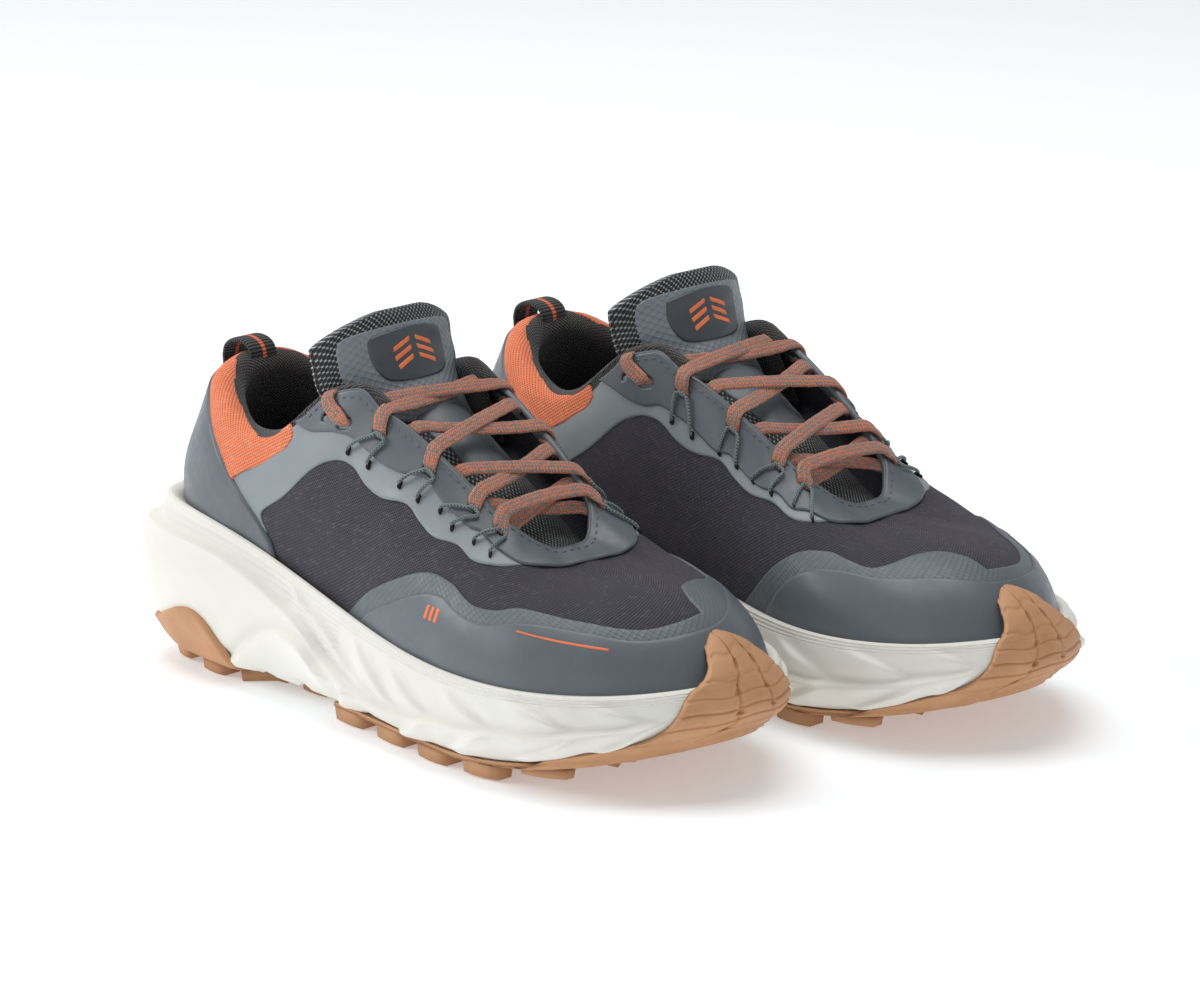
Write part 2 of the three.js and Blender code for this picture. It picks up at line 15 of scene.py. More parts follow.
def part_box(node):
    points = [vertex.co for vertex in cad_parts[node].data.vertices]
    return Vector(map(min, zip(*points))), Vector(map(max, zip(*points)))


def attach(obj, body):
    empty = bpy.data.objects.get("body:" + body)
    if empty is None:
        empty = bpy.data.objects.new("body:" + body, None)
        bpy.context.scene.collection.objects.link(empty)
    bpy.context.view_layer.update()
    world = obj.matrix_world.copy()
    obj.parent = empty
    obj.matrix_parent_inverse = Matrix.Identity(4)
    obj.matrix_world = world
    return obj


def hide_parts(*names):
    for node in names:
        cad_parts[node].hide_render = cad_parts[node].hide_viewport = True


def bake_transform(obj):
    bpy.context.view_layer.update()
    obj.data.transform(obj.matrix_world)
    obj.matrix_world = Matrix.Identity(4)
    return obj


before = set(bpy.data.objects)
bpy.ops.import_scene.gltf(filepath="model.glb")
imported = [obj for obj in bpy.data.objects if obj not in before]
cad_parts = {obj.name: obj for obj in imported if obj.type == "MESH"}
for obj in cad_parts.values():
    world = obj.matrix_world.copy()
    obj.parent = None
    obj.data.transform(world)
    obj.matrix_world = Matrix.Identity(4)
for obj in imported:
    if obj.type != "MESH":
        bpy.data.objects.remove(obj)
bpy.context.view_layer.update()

# ---- outline stations, as in the solid model ----
# feather line, top line, bulge at three heights
UPPER = [
    [(8, 0, 57), (24, 0, 113), (5, 4, 0)],
    [(13, -23, 57), (28, -19, 110), (5, 4, 1)],
    [(36, -36, 58), (46, -31, 100), (4, 4, 2)],
    [(66, -39, 55), (70, -36, 91), (3, 4, 2)],
    [(98, -40, 47), (98, -34, 107), (3, 6, 3)],
    [(128, -43, 40), (122, -27, 116), (5, 8, 3)],
    [(158, -48, 35), (148, -24, 103), (7, 10, 3)],
    [(192, -54, 34), (169, -22, 90), (11, 10, 2)],
    [(227, -51, 34), (184, -20, 78), (15, 9, 1)],
    [(258, -34, 36), (191, -11, 71), (19, 11, 0)],
    [(277, 1, 39), (189, 0, 70), (24, 12, 0)],
    [(266, 25, 38), (191, 11, 71), (19, 11, 0)],
    [(240, 44, 35), (184, 20, 78), (14, 8, 1)],
    [(204, 47, 34), (169, 22, 90), (8, 7, 1)],
    [(164, 40, 38), (148, 24, 103), (5, 7, 1)],
    [(130, 36, 45), (122, 27, 116), (3, 6, 2)],
    [(98, 36, 51), (98, 34, 107), (3, 5, 2)],
    [(66, 36, 56), (70, 36, 91), (3, 4, 2)],
    [(36, 34, 58), (46, 31, 100), (4, 4, 2)],
    [(13, 22, 57), (28, 19, 110), (5, 4, 1)],
]
# foot, widest point and rim of the foam wall
SOLE = [
    [(2, 0, 13), (-9, 0, 29), (-1, 0, 60)],
    [(7, -32, 12), (-3, -37, 28), (5, -30, 61)],
    [(42, -38, 8), (32, -48, 29), (33, -41, 62)],
    [(72, -40, 7), (68, -48, 27), (68, -44, 58)],
    [(100, -41, 7), (100, -49, 24), (100, -45, 50)],
    [(128, -44, 7), (128, -51, 22), (128, -48, 43)],
    [(160, -49, 7), (160, -56, 21), (159, -53, 38)],
    [(194, -54, 7), (195, -61, 20), (194, -59, 36)],
    [(229, -49, 9), (232, -57, 22), (231, -56, 36)],
    [(256, -32, 14), (265, -38, 25), (263, -38, 38)],
    [(275, 2, 23), (288, 2, 32), (285, 2, 42)],
    [(262, 27, 16), (273, 29, 28), (271, 29, 40)],
    [(238, 43, 9), (244, 50, 23), (243, 49, 38)],
    [(205, 49, 7), (206, 56, 21), (205, 54, 37)],
    [(164, 43, 7), (164, 50, 22), (164, 46, 41)],
    [(130, 38, 7), (130, 45, 24), (130, 41, 48)],
    [(100, 37, 7), (100, 45, 26), (100, 41, 54)],
    [(72, 38, 7), (68, 46, 28), (68, 42, 60)],
    [(42, 36, 8), (32, 46, 30), (33, 39, 62)],
    [(7, 31, 12), (-3, 36, 28), (5, 29, 61)],
]
TONGUE = [
    (198, 59), (190, 65), (180, 73), (164, 85), (147, 97), (131, 107), (119, 117), (112, 129), (108, 142),
]
STAY_FROM, STAY_CELLS = 0.165, 44
SLOT_CELLS = [4, 6, 9, 12, 14]
EDGE_U = [0.25, 0.2865, 0.333, 0.371, 0.404]
MESH = 1.2
SIDES = ("right", "left")


# ---- numbers ----
def smooth(a, b, x):
    t = np.clip((np.asarray(x, float) - a) / (b - a), 0, 1)
    return t * t * (3 - 2 * t)


def unit(v):
    return v / np.maximum(np.linalg.norm(v, axis=-1, keepdims=True), 1e-9)


def bspline(rows, u):
    t = np.mod(np.asarray(u, float), 1.0) * len(rows)
    i = np.floor(t).astype(int)
    f = t - i
    w = np.stack([(1 - f) ** 3, 3 * f**3 - 6 * f**2 + 4, -3 * f**3 + 3 * f**2 + 3 * f + 1, f**3], -1) / 6
    return (rows[(i[..., None] + np.arange(-1, 3)) % len(rows)] * w[..., None]).sum(-2)


def catmull(points, count):
    """A smooth curve through points, as count samples."""
    p = np.array(points, float)
    n = len(p)
    t = np.linspace(0, n - 1, count)
    i = np.minimum(np.floor(t).astype(int), n - 2)
    f = (t - i)[:, None]
    q = np.vstack([2 * p[0] - p[1], p, 2 * p[-1] - p[-2]])
    a, b, c, d = (q[i + k] for k in range(4))
    return 0.5 * (2 * b + (c - a) * f + (2 * a - 5 * b + 4 * c - d) * f**2 + (3 * b - a - 3 * c + d) * f**3)


def resample(points, step):
    gaps = np.linalg.norm(np.diff(points, axis=0), axis=1)
    s = np.concatenate([[0], np.cumsum(gaps)])
    n = max(int(s[-1] / step), 2)
    t = np.linspace(0, s[-1], n + 1)
    return np.stack([np.interp(t, s, points[:, k]) for k in range(points.shape[1])], 1), t


# ---- surfaces ----
def upper_columns():
    columns = []
    for k, (base, top, bulge) in enumerate(UPPER):
        a, b = np.array(base, float), np.array(top, float)
        beside = np.array(UPPER[(k + 1) % len(UPPER)][0], float) - np.array(UPPER[k - 1][0], float)
        out = unit(np.cross(beside, b - a))
        lift = [0, *bulge, 0]
        columns.append([a + (b - a) * f + out * lift[j] for j, f in enumerate((0, 0.25, 0.5, 0.75, 1))])
    return np.array(columns)


UPPER_GRID = upper_columns()
SOLE_GRID = np.array(SOLE, float)


def upper_at(u, v):
    u, v = np.broadcast_arrays(np.asarray(u, float), np.asarray(v, float))
    b = [(1 - v) ** 4, 4 * v * (1 - v) ** 3, 6 * v**2 * (1 - v) ** 2, 4 * v**3 * (1 - v), v**4]
    return sum(bspline(UPPER_GRID[:, j], u) * b[j][..., None] for j in range(5))


def normal(u, v):
    u, v = np.broadcast_arrays(np.asarray(u, float), np.asarray(v, float))
    d = 0.004
    w = np.clip(v, d, 1 - d)
    around = upper_at(u + d, v) - upper_at(u - d, v)
    return unit(np.cross(around, upper_at(u, w + d) - upper_at(u, w - d)))


def skin(u, v, offset):
    return upper_at(u, v) + normal(u, v) * np.asarray(offset, float)[..., None]


def wall_at(u, w):
    u, w = np.broadcast_arrays(np.asarray(u, float), np.asarray(w, float))
    weights = [(1 - w) * (1 - 2 * w), 4 * w * (1 - w), w * (2 * w - 1)]
    return sum(bspline(SOLE_GRID[:, j], u) * weights[j][..., None] for j in range(3))


def wall_normal(u, w):
    d = 0.003
    around = wall_at(u + d, w) - wall_at(u - d, w)
    return unit(np.cross(around, wall_at(u, w + d) - wall_at(u, w - d)))


def underside(x):
    return 7 + 7 * np.maximum(0, (32 - x) / 30) ** 2 + 17 * np.maximum(0, (x - 188) / 96) ** 1.8


AROUND = np.linspace(-0.6, 1.6, 1101)
HEIGHT = np.linalg.norm(upper_at(AROUND, 1.0) - upper_at(AROUND, 0.0), axis=1)
RING = upper_at(AROUND, 0.35)
LENGTH = np.concatenate([[0], np.cumsum(np.linalg.norm(np.diff(RING, axis=0), axis=1))])


def height(u):
    return np.interp(u, AROUND, HEIGHT)


def cloth_uv(u, v):
    """Place on the flat cloth, in millimetres."""
    return np.stack([np.interp(u, AROUND, LENGTH), v * height(u)], -1)


def ripple(u, v):
    """Slight unevenness of sewn and welded cloth."""
    u = np.asarray(u, float) * 2 * np.pi
    return 0.22 * np.sin(11 * u + 5 * v) * np.sin(7 * v + 1) + 0.14 * np.sin(23 * u - 9 * v + 2)


# The padded collar: a roll along the top line, over which the outer cloth and the lining meet.
def collar_sizes(u):
    s = np.abs(((np.asarray(u, float) + 0.5) % 1) - 0.5)
    radius = 6.2 - 2.6 * smooth(0.15, 0.22, s)
    rise = -0.85 * radius + 7.6 * smooth(0.165, 0.215, s) - 5 * smooth(0.235, 0.275, s)
    return radius, 1 + rise / height(u)


def collar(u, a, offset):
    """a: millimetres over the roll from outside to inside, 0 where it starts to turn in."""
    u, a, offset = np.broadcast_arrays(*(np.asarray(x, float) for x in (u, a, offset)))
    radius, centre = collar_sizes(u)
    turn = np.clip(a / radius, 0, np.pi)
    down = np.where(a < 0, a, np.minimum(0, np.pi * radius - a))
    v = centre + down / height(u)
    n = normal(u, v)
    w = np.clip(v, 0.01, 0.98)
    up = unit(upper_at(u, w + 0.01) - upper_at(u, w))
    middle = upper_at(u, v) + n * (2 - radius)[..., None]
    way = n * np.cos(turn)[..., None] + up * np.sin(turn)[..., None]
    return middle + (radius + offset)[..., None] * way


# ---- tongue ----
TONGUE_CURVE = catmull([(x, 0, z) for x, z in TONGUE], 401)


def tongue_line(s):
    k = np.asarray(s, float) * 400
    return np.stack([np.interp(k, np.arange(401), TONGUE_CURVE[:, c]) for c in range(3)], -1)


def tongue_x(x):
    return float(np.interp(-x, -TONGUE_CURVE[:, 0], np.linspace(0, 1, 401)))


def tongue_at(s, t, offset):
    s, t, offset = np.broadcast_arrays(*(np.asarray(x, float) for x in (s, t, offset)))
    half = (23 + 3 * smooth(0, 0.5, s) + 7 * smooth(0.62, 0.85, s)) * (1 - 0.16 * smooth(0.9, 1.04, s))
    sag = 4 + 11 * smooth(0, 0.5, s) - 3 * smooth(0.75, 1, s)
    along = unit(tongue_line(np.clip(s + 0.02, 0, 1)) - tongue_line(np.clip(s - 0.02, 0, 1)))
    up = np.stack([along[..., 2], 0 * s, -along[..., 0]], -1)
    up *= np.where(up[..., 2:3] < 0, -1, 1)
    p = tongue_line(s) + up * (offset - sag * t * t + 3 * (1 - smooth(0.05, 0.3, s)))[..., None]
    p[..., 1] = half * t
    return p


# ---- placing pieces in the row frame ----
def row_shift(side):
    low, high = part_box(f"{side}_midsole")
    heel = wall_at(0.0, 0.5)
    middle = (low[1] + high[1]) / 2 * 1000
    y = np.array([wall_at(k / 52, 0.5)[1] for k in range(52)])
    own = (y.min() + y.max()) / 2
    return low[0] * 1000 - heel[0], middle + (own if side == "left" else -own)


SHIFT = {side: row_shift(side) for side in SIDES}


def to_row(points, side):
    p = np.array(points, float)
    dx, dy = SHIFT[side]
    y = -p[..., 1] if side == "left" else p[..., 1]
    return np.stack([p[..., 0] + dx, y + dy, p[..., 2]], -1) / 1000


def put(name, sheet, material, nodes=(), seat=True):
    """Makes the piece for each shoe. sheet is vertices, faces and one uv for each corner of each face."""
    verts, faces, uv = sheet
    made = {}
    for side in SIDES:
        flip = side == "left"
        mesh = bpy.data.meshes.new(f"{side}_{name}")
        mesh.from_pydata(to_row(verts, side).tolist(), [], [f[::-1] if flip else f for f in faces])
        corners = uv
        if flip:
            sizes = np.array([len(f) for f in faces])
            ends = np.cumsum(sizes)
            order = np.concatenate([np.arange(e - 1, e - n - 1, -1) for e, n in zip(ends, sizes)])
            corners = uv[order]
        layer = mesh.uv_layers.new(name="Cloth")
        layer.data.foreach_set("uv", np.asarray(corners, np.float32).ravel())
        mesh.shade_smooth()
        mesh.materials.append(material)
        obj = bpy.data.objects.new(f"{side}_{name}_fine", mesh)
        bpy.context.scene.collection.objects.link(obj)
        if seat:
            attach(obj, f"{side}_shoe")
        if nodes:
            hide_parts(*[f"{side}_{n}" for n in nodes])
        made[side] = obj
    return made


def grid(shape, wrap=False):
    """Faces of a grid of points, with the corner indices of each."""
    n, m = shape
    i, j = np.meshgrid(np.arange(n if wrap else n - 1), np.arange(m - 1), indexing="ij")
    k = (i + 1) % n
    quads = np.stack([i * m + j, k * m + j, k * m + j + 1, i * m + j + 1], -1).reshape(-1, 4)
    corners = ((i, j), (i + 1, j), (i + 1, j + 1), (i, j + 1))
    flat = np.stack([np.stack(corner, -1) for corner in corners], 2)
    return quads, flat.reshape(-1, 4, 2)


def shell(at, us, vs, wrap=False, flat=cloth_uv):
    """A closed sheet: at(u, v, side) gives the outer (1) and inner (0) face.

    Returns vertices, faces and corner uvs.
    """
    U, V = np.meshgrid(us, vs, indexing="ij")
    outer, inner = at(U, V, 1), at(U, V, 0)
    n, m = U.shape
    quads, cells = grid((n, m), wrap)
    step = us[1] - us[0]
    cu = us[0] + cells[..., 0] * step if wrap else us[cells[..., 0]]
    corner = flat(cu, vs[cells[..., 1]]).reshape(-1, 4, 2)
    verts = np.vstack([outer.reshape(-1, 3), inner.reshape(-1, 3)])
    faces, uv = list(map(list, quads)), [corner]
    faces += [list(f[::-1] + n * m) for f in quads]
    uv.append(corner[:, ::-1])
    rim = [(k * m + m - 1, ((k + 1) % n) * m + m - 1) for k in range(n if wrap else n - 1)]
    rim += [(((k + 1) % n) * m, k * m) for k in range(n if wrap else n - 1)]
    if not wrap:
        rim += [(j + 1, j) for j in range(m - 1)]
        rim += [((n - 1) * m + j, (n - 1) * m + j + 1) for j in range(m - 1)]
    place = flat(U, V).reshape(-1, 2)
    for a, b in rim:
        faces.append([b, a, a + n * m, b + n * m])
        uv.append(place[[b, a, a, b]][None])
    return verts, faces, np.concatenate([c.reshape(-1, 2) for c in uv])


# ---- sheets cut to an outline ----
def inside(points, loop):
    x, y = points[:, 0:1], points[:, 1:2]
    a, b = loop, np.roll(loop, -1, 0)
    cross = (a[:, 1] > y) != (b[:, 1] > y)
    with np.errstate(divide="ignore", invalid="ignore"):
        at = (b[:, 0] - a[:, 0]) * (y - a[:, 1]) / (b[:, 1] - a[:, 1]) + a[:, 0]
    return (cross & (x < at)).sum(1) % 2 == 1


def edge_distance(points, loop):
    a, b = loop, np.roll(loop, -1, 0)
    ab = b - a
    best = np.full(len(points), 1e9)
    for k in range(0, len(points), 2000):
        p = points[k : k + 2000, None]
        t = np.clip(((p - a) * ab).sum(-1) / np.maximum((ab**2).sum(-1), 1e-9), 0, 1)
        best[k : k + 2000] = np.linalg.norm(p - a - ab * t[..., None], axis=-1).min(1)
    return best


def outline(*runs, step=1.1):
    """A closed loop from smooth runs; runs meet at corners. Places are in the cut plane."""
    loop = []
    for run in runs:
        run = np.array(run, float)
        smooth_run = catmull(run, 12 * len(run)) if len(run) > 2 else run
        fine, _ = resample(smooth_run, step)
        loop.append(fine[:-1])
    return np.vstack(loop)


def cut_sheet(loops, at, inner, outer, step=2.2, soft=0.7, flat=None):
    """A closed thin sheet inside the first loop and outside the others. at(points, offset) maps the plane."""
    area = lambda q: float(np.sum(q[:, 0] * np.roll(q[:, 1], -1) - q[:, 1] * np.roll(q[:, 0], -1)))
    loops = [q if (area(q) > 0) == (k == 0) else q[::-1] for k, q in enumerate(loops)]
    low, high = loops[0].min(0), loops[0].max(0)
    columns = np.arange(low[0], high[0], step)
    gx, gy = np.meshgrid(columns, np.arange(low[1], high[1], step * 0.866), indexing="ij")
    gx = gx + (np.arange(gx.shape[1]) % 2) * step / 2
    free = [np.stack([gx.ravel(), gy.ravel()], -1)]
    for q in loops:
        side = unit(np.roll(q, -1, 0) - np.roll(q, 1, 0)) @ np.array([[0, 1], [-1, 0]])
        free += [q + side * d for d in (0.35 * soft, soft, 1.6 * soft)]
    ring = [len(free[0])] + [len(f) for f in free[1:]]
    points = np.vstack(free)
    distance = np.min([edge_distance(points, q) for q in loops], 0)
    least = np.repeat([1.9 * soft] + [0.3 * soft, 0.9 * soft, 1.45 * soft] * len(loops), ring)
    keep = inside(points, loops[0]) & (distance > least)
    for q in loops[1:]:
        keep &= ~inside(points, q)
    points, distance = points[keep], distance[keep]
    border = np.vstack(loops)
    edges, first = [], 0
    for q in loops:
        edges += [(first + k, first + (k + 1) % len(q)) for k in range(len(q))]
        first += len(q)
    everything = np.vstack([border, points])
    verts, _, tris, origins, _, _ = delaunay_2d_cdt([Vector(p) for p in everything], edges, [], 0, 1e-5)
    plane = np.array([tuple(v) for v in verts])
    tris = np.array(tris)
    middle = plane[tris].mean(1)
    good = inside(middle, loops[0])
    for q in loops[1:]:
        good &= ~inside(middle, q)
    tris = tris[good]
    used = np.unique(tris)
    lookup = np.full(len(plane), -1)
    lookup[used] = np.arange(len(used))
    plane, tris = plane[used], lookup[tris]
    depth = np.min([edge_distance(plane, q) for q in loops], 0)
    rise = 0.3 + 0.7 * np.sqrt(np.clip(1 - (1 - np.clip(depth / soft, 0, 1)) ** 2, 0, 1))
    top = at(plane, inner + (outer - inner) * rise)
    bottom = at(plane, np.full(len(plane), inner))
    n = len(plane)
    tri_edges = np.vstack([tris[:, [0, 1]], tris[:, [1, 2]], tris[:, [2, 0]]])
    known = {tuple(e) for e in tri_edges.tolist()}
    rim = [(a, b) for a, b in known if (b, a) not in known]
    rim.sort()
    faces = tris.tolist() + (tris[:, ::-1] + n).tolist() + [[b, a, a + n, b + n] for a, b in rim]
    place = plane if flat is None else flat(plane)
    uv = [place[tris].reshape(-1, 2), place[tris[:, ::-1]].reshape(-1, 2)]
    if rim:
        r = np.array(rim)
        uv.append(place[np.stack([r[:, 1], r[:, 0], r[:, 0], r[:, 1]], 1)].reshape(-1, 2))
    return np.vstack([top, bottom]), faces, np.vstack(uv)


SU, SV = 640.0, 55.0    # the cut plane of the upper, near millimetres


def on_upper(plane, offset):
    u, v = plane[:, 0] / SU, plane[:, 1] / SV
    return skin(u, v, offset + ripple(u, v))


def upper_flat(plane):
    return cloth_uv(plane[:, 0] / SU, plane[:, 1] / SV)


def scaled(points):
    return [(u * SU, v * SV) for u, v in points]


def other_side(points):
    return [(1 - u, v) for u, v in points][::-1]


# ---- bands, cords and stitches ----
def tube(path, side, width, thick, around=12, step=0.9, power=2.0, wobble=0.0, ease=0.0):
    """A closed band along path; side holds the width's direction at each of its points."""
    path, side = np.array(path, float), np.array(side, float)
    both = catmull(np.hstack([path, side]), 10 * len(path))
    gaps = np.concatenate([[0], np.cumsum(np.linalg.norm(np.diff(both[:, :3], axis=0), axis=1))])
    t = np.linspace(0, gaps[-1], max(int(gaps[-1] / step), 3) + 1)
    both = np.stack([np.interp(t, gaps, both[:, k]) for k in range(6)], 1)
    if ease:
        reach = int(3 * ease / step)
        weight = np.exp(-0.5 * (np.arange(-reach, reach + 1) * step / ease) ** 2)
        held = np.vstack([np.repeat(both[:1], reach, 0), both, np.repeat(both[-1:], reach, 0)])
        both = np.stack([np.convolve(held[:, k], weight / weight.sum(), "valid") for k in range(6)], 1)
    p = both[:, :3]
    along = unit(np.gradient(p, axis=0))
    across = both[:, 3:] - along * (both[:, 3:] * along).sum(1, keepdims=True)
    across = unit(across)
    up = np.cross(across, along)
    angle = np.arange(around) * 2 * np.pi / around
    c, s = np.cos(angle), np.sin(angle)
    shape = lambda x: np.sign(x) * np.abs(x) ** (2 / power)
    size = 1 + wobble * np.sin(t * 1.7)[:, None] * np.sin(t * 0.61)[:, None]
    ends = np.minimum(t, t[-1] - t)
    size = size * np.sqrt(np.clip(1 - (1 - np.clip(ends / (thick * 0.6), 0, 1)) ** 2, 0.06, 1))[:, None]
    ring = p[:, None] + across[:, None] * (shape(c) * width / 2 * size)[..., None]
    ring = ring + up[:, None] * (shape(s) * thick / 2 * size)[..., None]
    n = len(p)
    verts = ring.reshape(-1, 3)
    faces = []
    for k in range(n - 1):
        for j in range(around):
            q = (j + 1) % around
            faces.append([k * around + j, k * around + q, (k + 1) * around + q, (k + 1) * around + j])
    i, j = np.meshgrid(np.arange(n - 1), np.arange(around), indexing="ij")
    section = np.stack([shape(np.append(c, 1)) * width / 2, shape(np.append(s, 0)) * thick / 2], 1)
    girth = np.concatenate([[0], np.cumsum(np.linalg.norm(np.diff(section, axis=0), axis=1))])
    corners = ((i, j), (i, j + 1), (i + 1, j + 1), (i + 1, j))
    corner = np.stack([np.stack([t[a], girth[b]], -1) for a, b in corners], 2)
    uv = [corner.reshape(-1, 2)]
    faces.append(list(range(around))[::-1])
    faces.append([(n - 1) * around + j for j in range(around)])
    uv.append(np.zeros((2 * around, 2)))
    return verts, faces, np.vstack(uv)


def join(parts):
    verts, faces, uv, first = [], [], [], 0
    for v, f, c in parts:
        verts.append(v)
        faces += [[k + first for k in g] for g in f]
        uv.append(c)
        first += len(v)
    return np.vstack(verts), faces, np.vstack(uv)


def stitches(path, normals, long=2.3, gap=1.1, thick=0.55):
    """Thread stitches sunk a little at both ends, along a path on cloth."""
    both, t = resample(np.hstack([path, normals]), 0.25)
    parts = []
    pitch = long + gap
    for k in range(int(t[-1] / pitch)):
        f = np.linspace(k * pitch, k * pitch + long, 5)
        p = np.stack([np.interp(f, t, both[:, c]) for c in range(3)], 1)
        n = unit(np.stack([np.interp(f, t, both[:, 3 + c]) for c in range(3)], 1))
        lift = np.array([-0.25, 0.12, 0.2, 0.12, -0.25])[:, None]
        across = np.cross(n, unit(np.gradient(p, axis=0)))
        parts.append(tube(p + n * lift, across, thick, thick * 0.8, around=6, step=0.5))
    return join(parts)


# ---- looks ----
def rgb(code):
    c = np.array([int(code[k : k + 2], 16) for k in (0, 2, 4)]) / 255
    return (*np.where(c > 0.04045, ((c + 0.055) / 1.055) ** 2.4, c / 12.92), 1.0)


class Look:
    """A procedural material. Cloth places are the flat millimetres kept in the Cloth uv map."""

    def __init__(self, name, rough=0.6, **sockets):
        self.material = bpy.data.materials.new(name)
        self.material.use_nodes = True
        self.tree = self.material.node_tree
        self.shader = self.tree.nodes["Principled BSDF"]
        self.shader.inputs["Roughness"].default_value = rough
        for key, value in sockets.items():
            self.shader.inputs[key.replace("_", " ")].default_value = value
        self.cloth = self.node("ShaderNodeUVMap", uv_map="Cloth").outputs[0]
        self.place = self.node("ShaderNodeTexCoord").outputs["Object"]

    def node(self, kind, *values, **props):
        node = self.tree.nodes.new(kind)
        for key, value in props.items():
            setattr(node, key, value)
        for socket, value in zip(node.inputs, values):
            self.set(socket, value)
        return node

    def set(self, socket, value):
        if isinstance(value, bpy.types.NodeSocket):
            self.tree.links.new(value, socket)
        elif value is not None:
            socket.default_value = value

    def math(self, op, *values):
        return self.node("ShaderNodeMath", *values, operation=op).outputs[0]

    def scaled(self, vector, x, y, z=1.0, shift=(0, 0, 0)):
        moved = self.node("ShaderNodeVectorMath", vector, (x, y, z), operation="MULTIPLY").outputs[0]
        return self.node("ShaderNodeVectorMath", moved, shift, operation="ADD").outputs[0]

    def parts(self, vector):
        return self.node("ShaderNodeSeparateXYZ", vector).outputs

    def noise(self, vector, scale, detail=3.0, rough=0.55):
        node = self.node("ShaderNodeTexNoise")
        self.set(node.inputs["Vector"], vector)
        node.inputs["Scale"].default_value = scale
        node.inputs["Detail"].default_value = detail
        node.inputs["Roughness"].default_value = rough
        return node.outputs[0]

    def cells(self, vector):
        node = self.node("ShaderNodeTexVoronoi", voronoi_dimensions="2D")
        self.set(node.inputs["Vector"], vector)
        node.inputs["Scale"].default_value = 1.0
        node.inputs["Randomness"].default_value = 0.0
        return node.outputs

    def staggered(self, x, y):
        """Distance to the nearest point of a staggered lattice, and a colour for each cell."""
        a = self.cells(self.scaled(self.cloth, 1 / x, 1 / y))
        b = self.cells(self.scaled(self.cloth, 1 / x, 1 / y, 1, (0.5, 0.5, 0)))
        near = self.math("MINIMUM", a[0], b[0])
        first = self.math("LESS_THAN", a[0], b[0])
        tone = self.mix(first, b[1], a[1])
        return near, self.parts(tone)[0]

    def ramp(self, value, low, high, a=0.0, b=1.0):
        node = self.node("ShaderNodeMapRange", value, low, high, a, b)
        node.interpolation_type = "SMOOTHSTEP"
        return node.outputs[0]

    def mix(self, factor, a, b):
        node = self.node("ShaderNodeMix", data_type="RGBA")
        self.set(node.inputs[0], factor)
        self.set(node.inputs[6], a)
        self.set(node.inputs[7], b)
        return node.outputs[2]

    def bump(self, height, distance, strength=1.0, under=None):
        node = self.node("ShaderNodeBump")
        node.inputs["Strength"].default_value = strength
        node.inputs["Distance"].default_value = distance / 1000
        self.set(node.inputs["Height"], height)
        if under is not None:
            self.set(node.inputs["Normal"], under)
        return node.outputs[0]

    def done(self, colour=None, normal=None, rough=None):
        for key, value in (("Base Color", colour), ("Normal", normal), ("Roughness", rough)):
            if value is not None:
                self.set(self.shader.inputs[key], value)
        return self.material


def knit_look(name, dark, light, fleck, x=1.5, y=1.1, sheen=0.25, depth=0.3, flecks=0.62, gap=0.42):
    look = Look(name, 0.85, Sheen_Weight=sheen, Sheen_Roughness=0.5)
    look.shader.inputs["Specular IOR Level"].default_value = 0.3
    near, tone = look.staggered(x, y)
    yarn = look.ramp(near, gap - 0.24, gap, 1.0, 0.0)
    worn = look.noise(look.place, 60, 3)
    colour = look.mix(yarn, dark, light)
    some = look.ramp(tone, flecks, flecks + 0.2)
    colour = look.mix(look.math("MULTIPLY", some, look.math("MULTIPLY", yarn, 0.4)), colour, fleck)
    colour = look.mix(look.ramp(worn, 0.35, 0.75, 0, 0.25), colour, light)
    fibre = look.noise(look.scaled(look.cloth, 3, 9), 1.0, 3)
    bump = look.bump(yarn, depth, 0.9, look.bump(fibre, 0.12, 0.5))
    return look.done(colour, bump)


def open_mesh_look(name, yarn, hole, x=3.0, y=2.0):
    look = Look(name, 0.7, Sheen_Weight=0.2, Sheen_Roughness=0.5)
    near, _ = look.staggered(x, y)
    solid = look.ramp(near, 0.28, 0.4)
    fibre = look.noise(look.scaled(look.cloth, 5, 5), 1.0, 3)
    shade = look.mix(look.ramp(fibre, 0.3, 0.7, 0, 0.35), yarn, rgb("3c3d3f"))
    bump = look.bump(solid, 0.9, 1.0, look.bump(fibre, 0.1, 0.6))
    return look.done(look.mix(solid, hole, shade), bump)


def film_look(name, base, rough=0.42, grain=0.06, emboss=0.0, x=2.4, y=2.4):
    look = Look(name, rough, Coat_Weight=0.12, Coat_Roughness=0.35)
    fine = look.noise(look.place, 2600, 2)
    broad = look.noise(look.place, 45, 3)
    colour = look.mix(look.ramp(broad, 0.3, 0.7, 0, 0.22), base, tuple(c * 0.72 for c in base[:3]) + (1,))
    bump = look.bump(fine, grain, 0.55)
    if emboss:
        near, _ = look.staggered(x, y)
        pit = look.ramp(near, 0.2, 0.5)
        bump = look.bump(pit, emboss, 0.8, bump)
        paler = tuple(c * 1.5 for c in base[:3]) + (1,)
        colour = look.mix(look.math("MULTIPLY", look.ramp(near, 0.2, 0.5, 1, 0), 0.3), colour, paler)
    marks = look.ramp(look.noise(look.place, 320, 4), 0.3, 0.75, rough - 0.06, rough + 0.1)
    return look.done(colour, bump, marks)


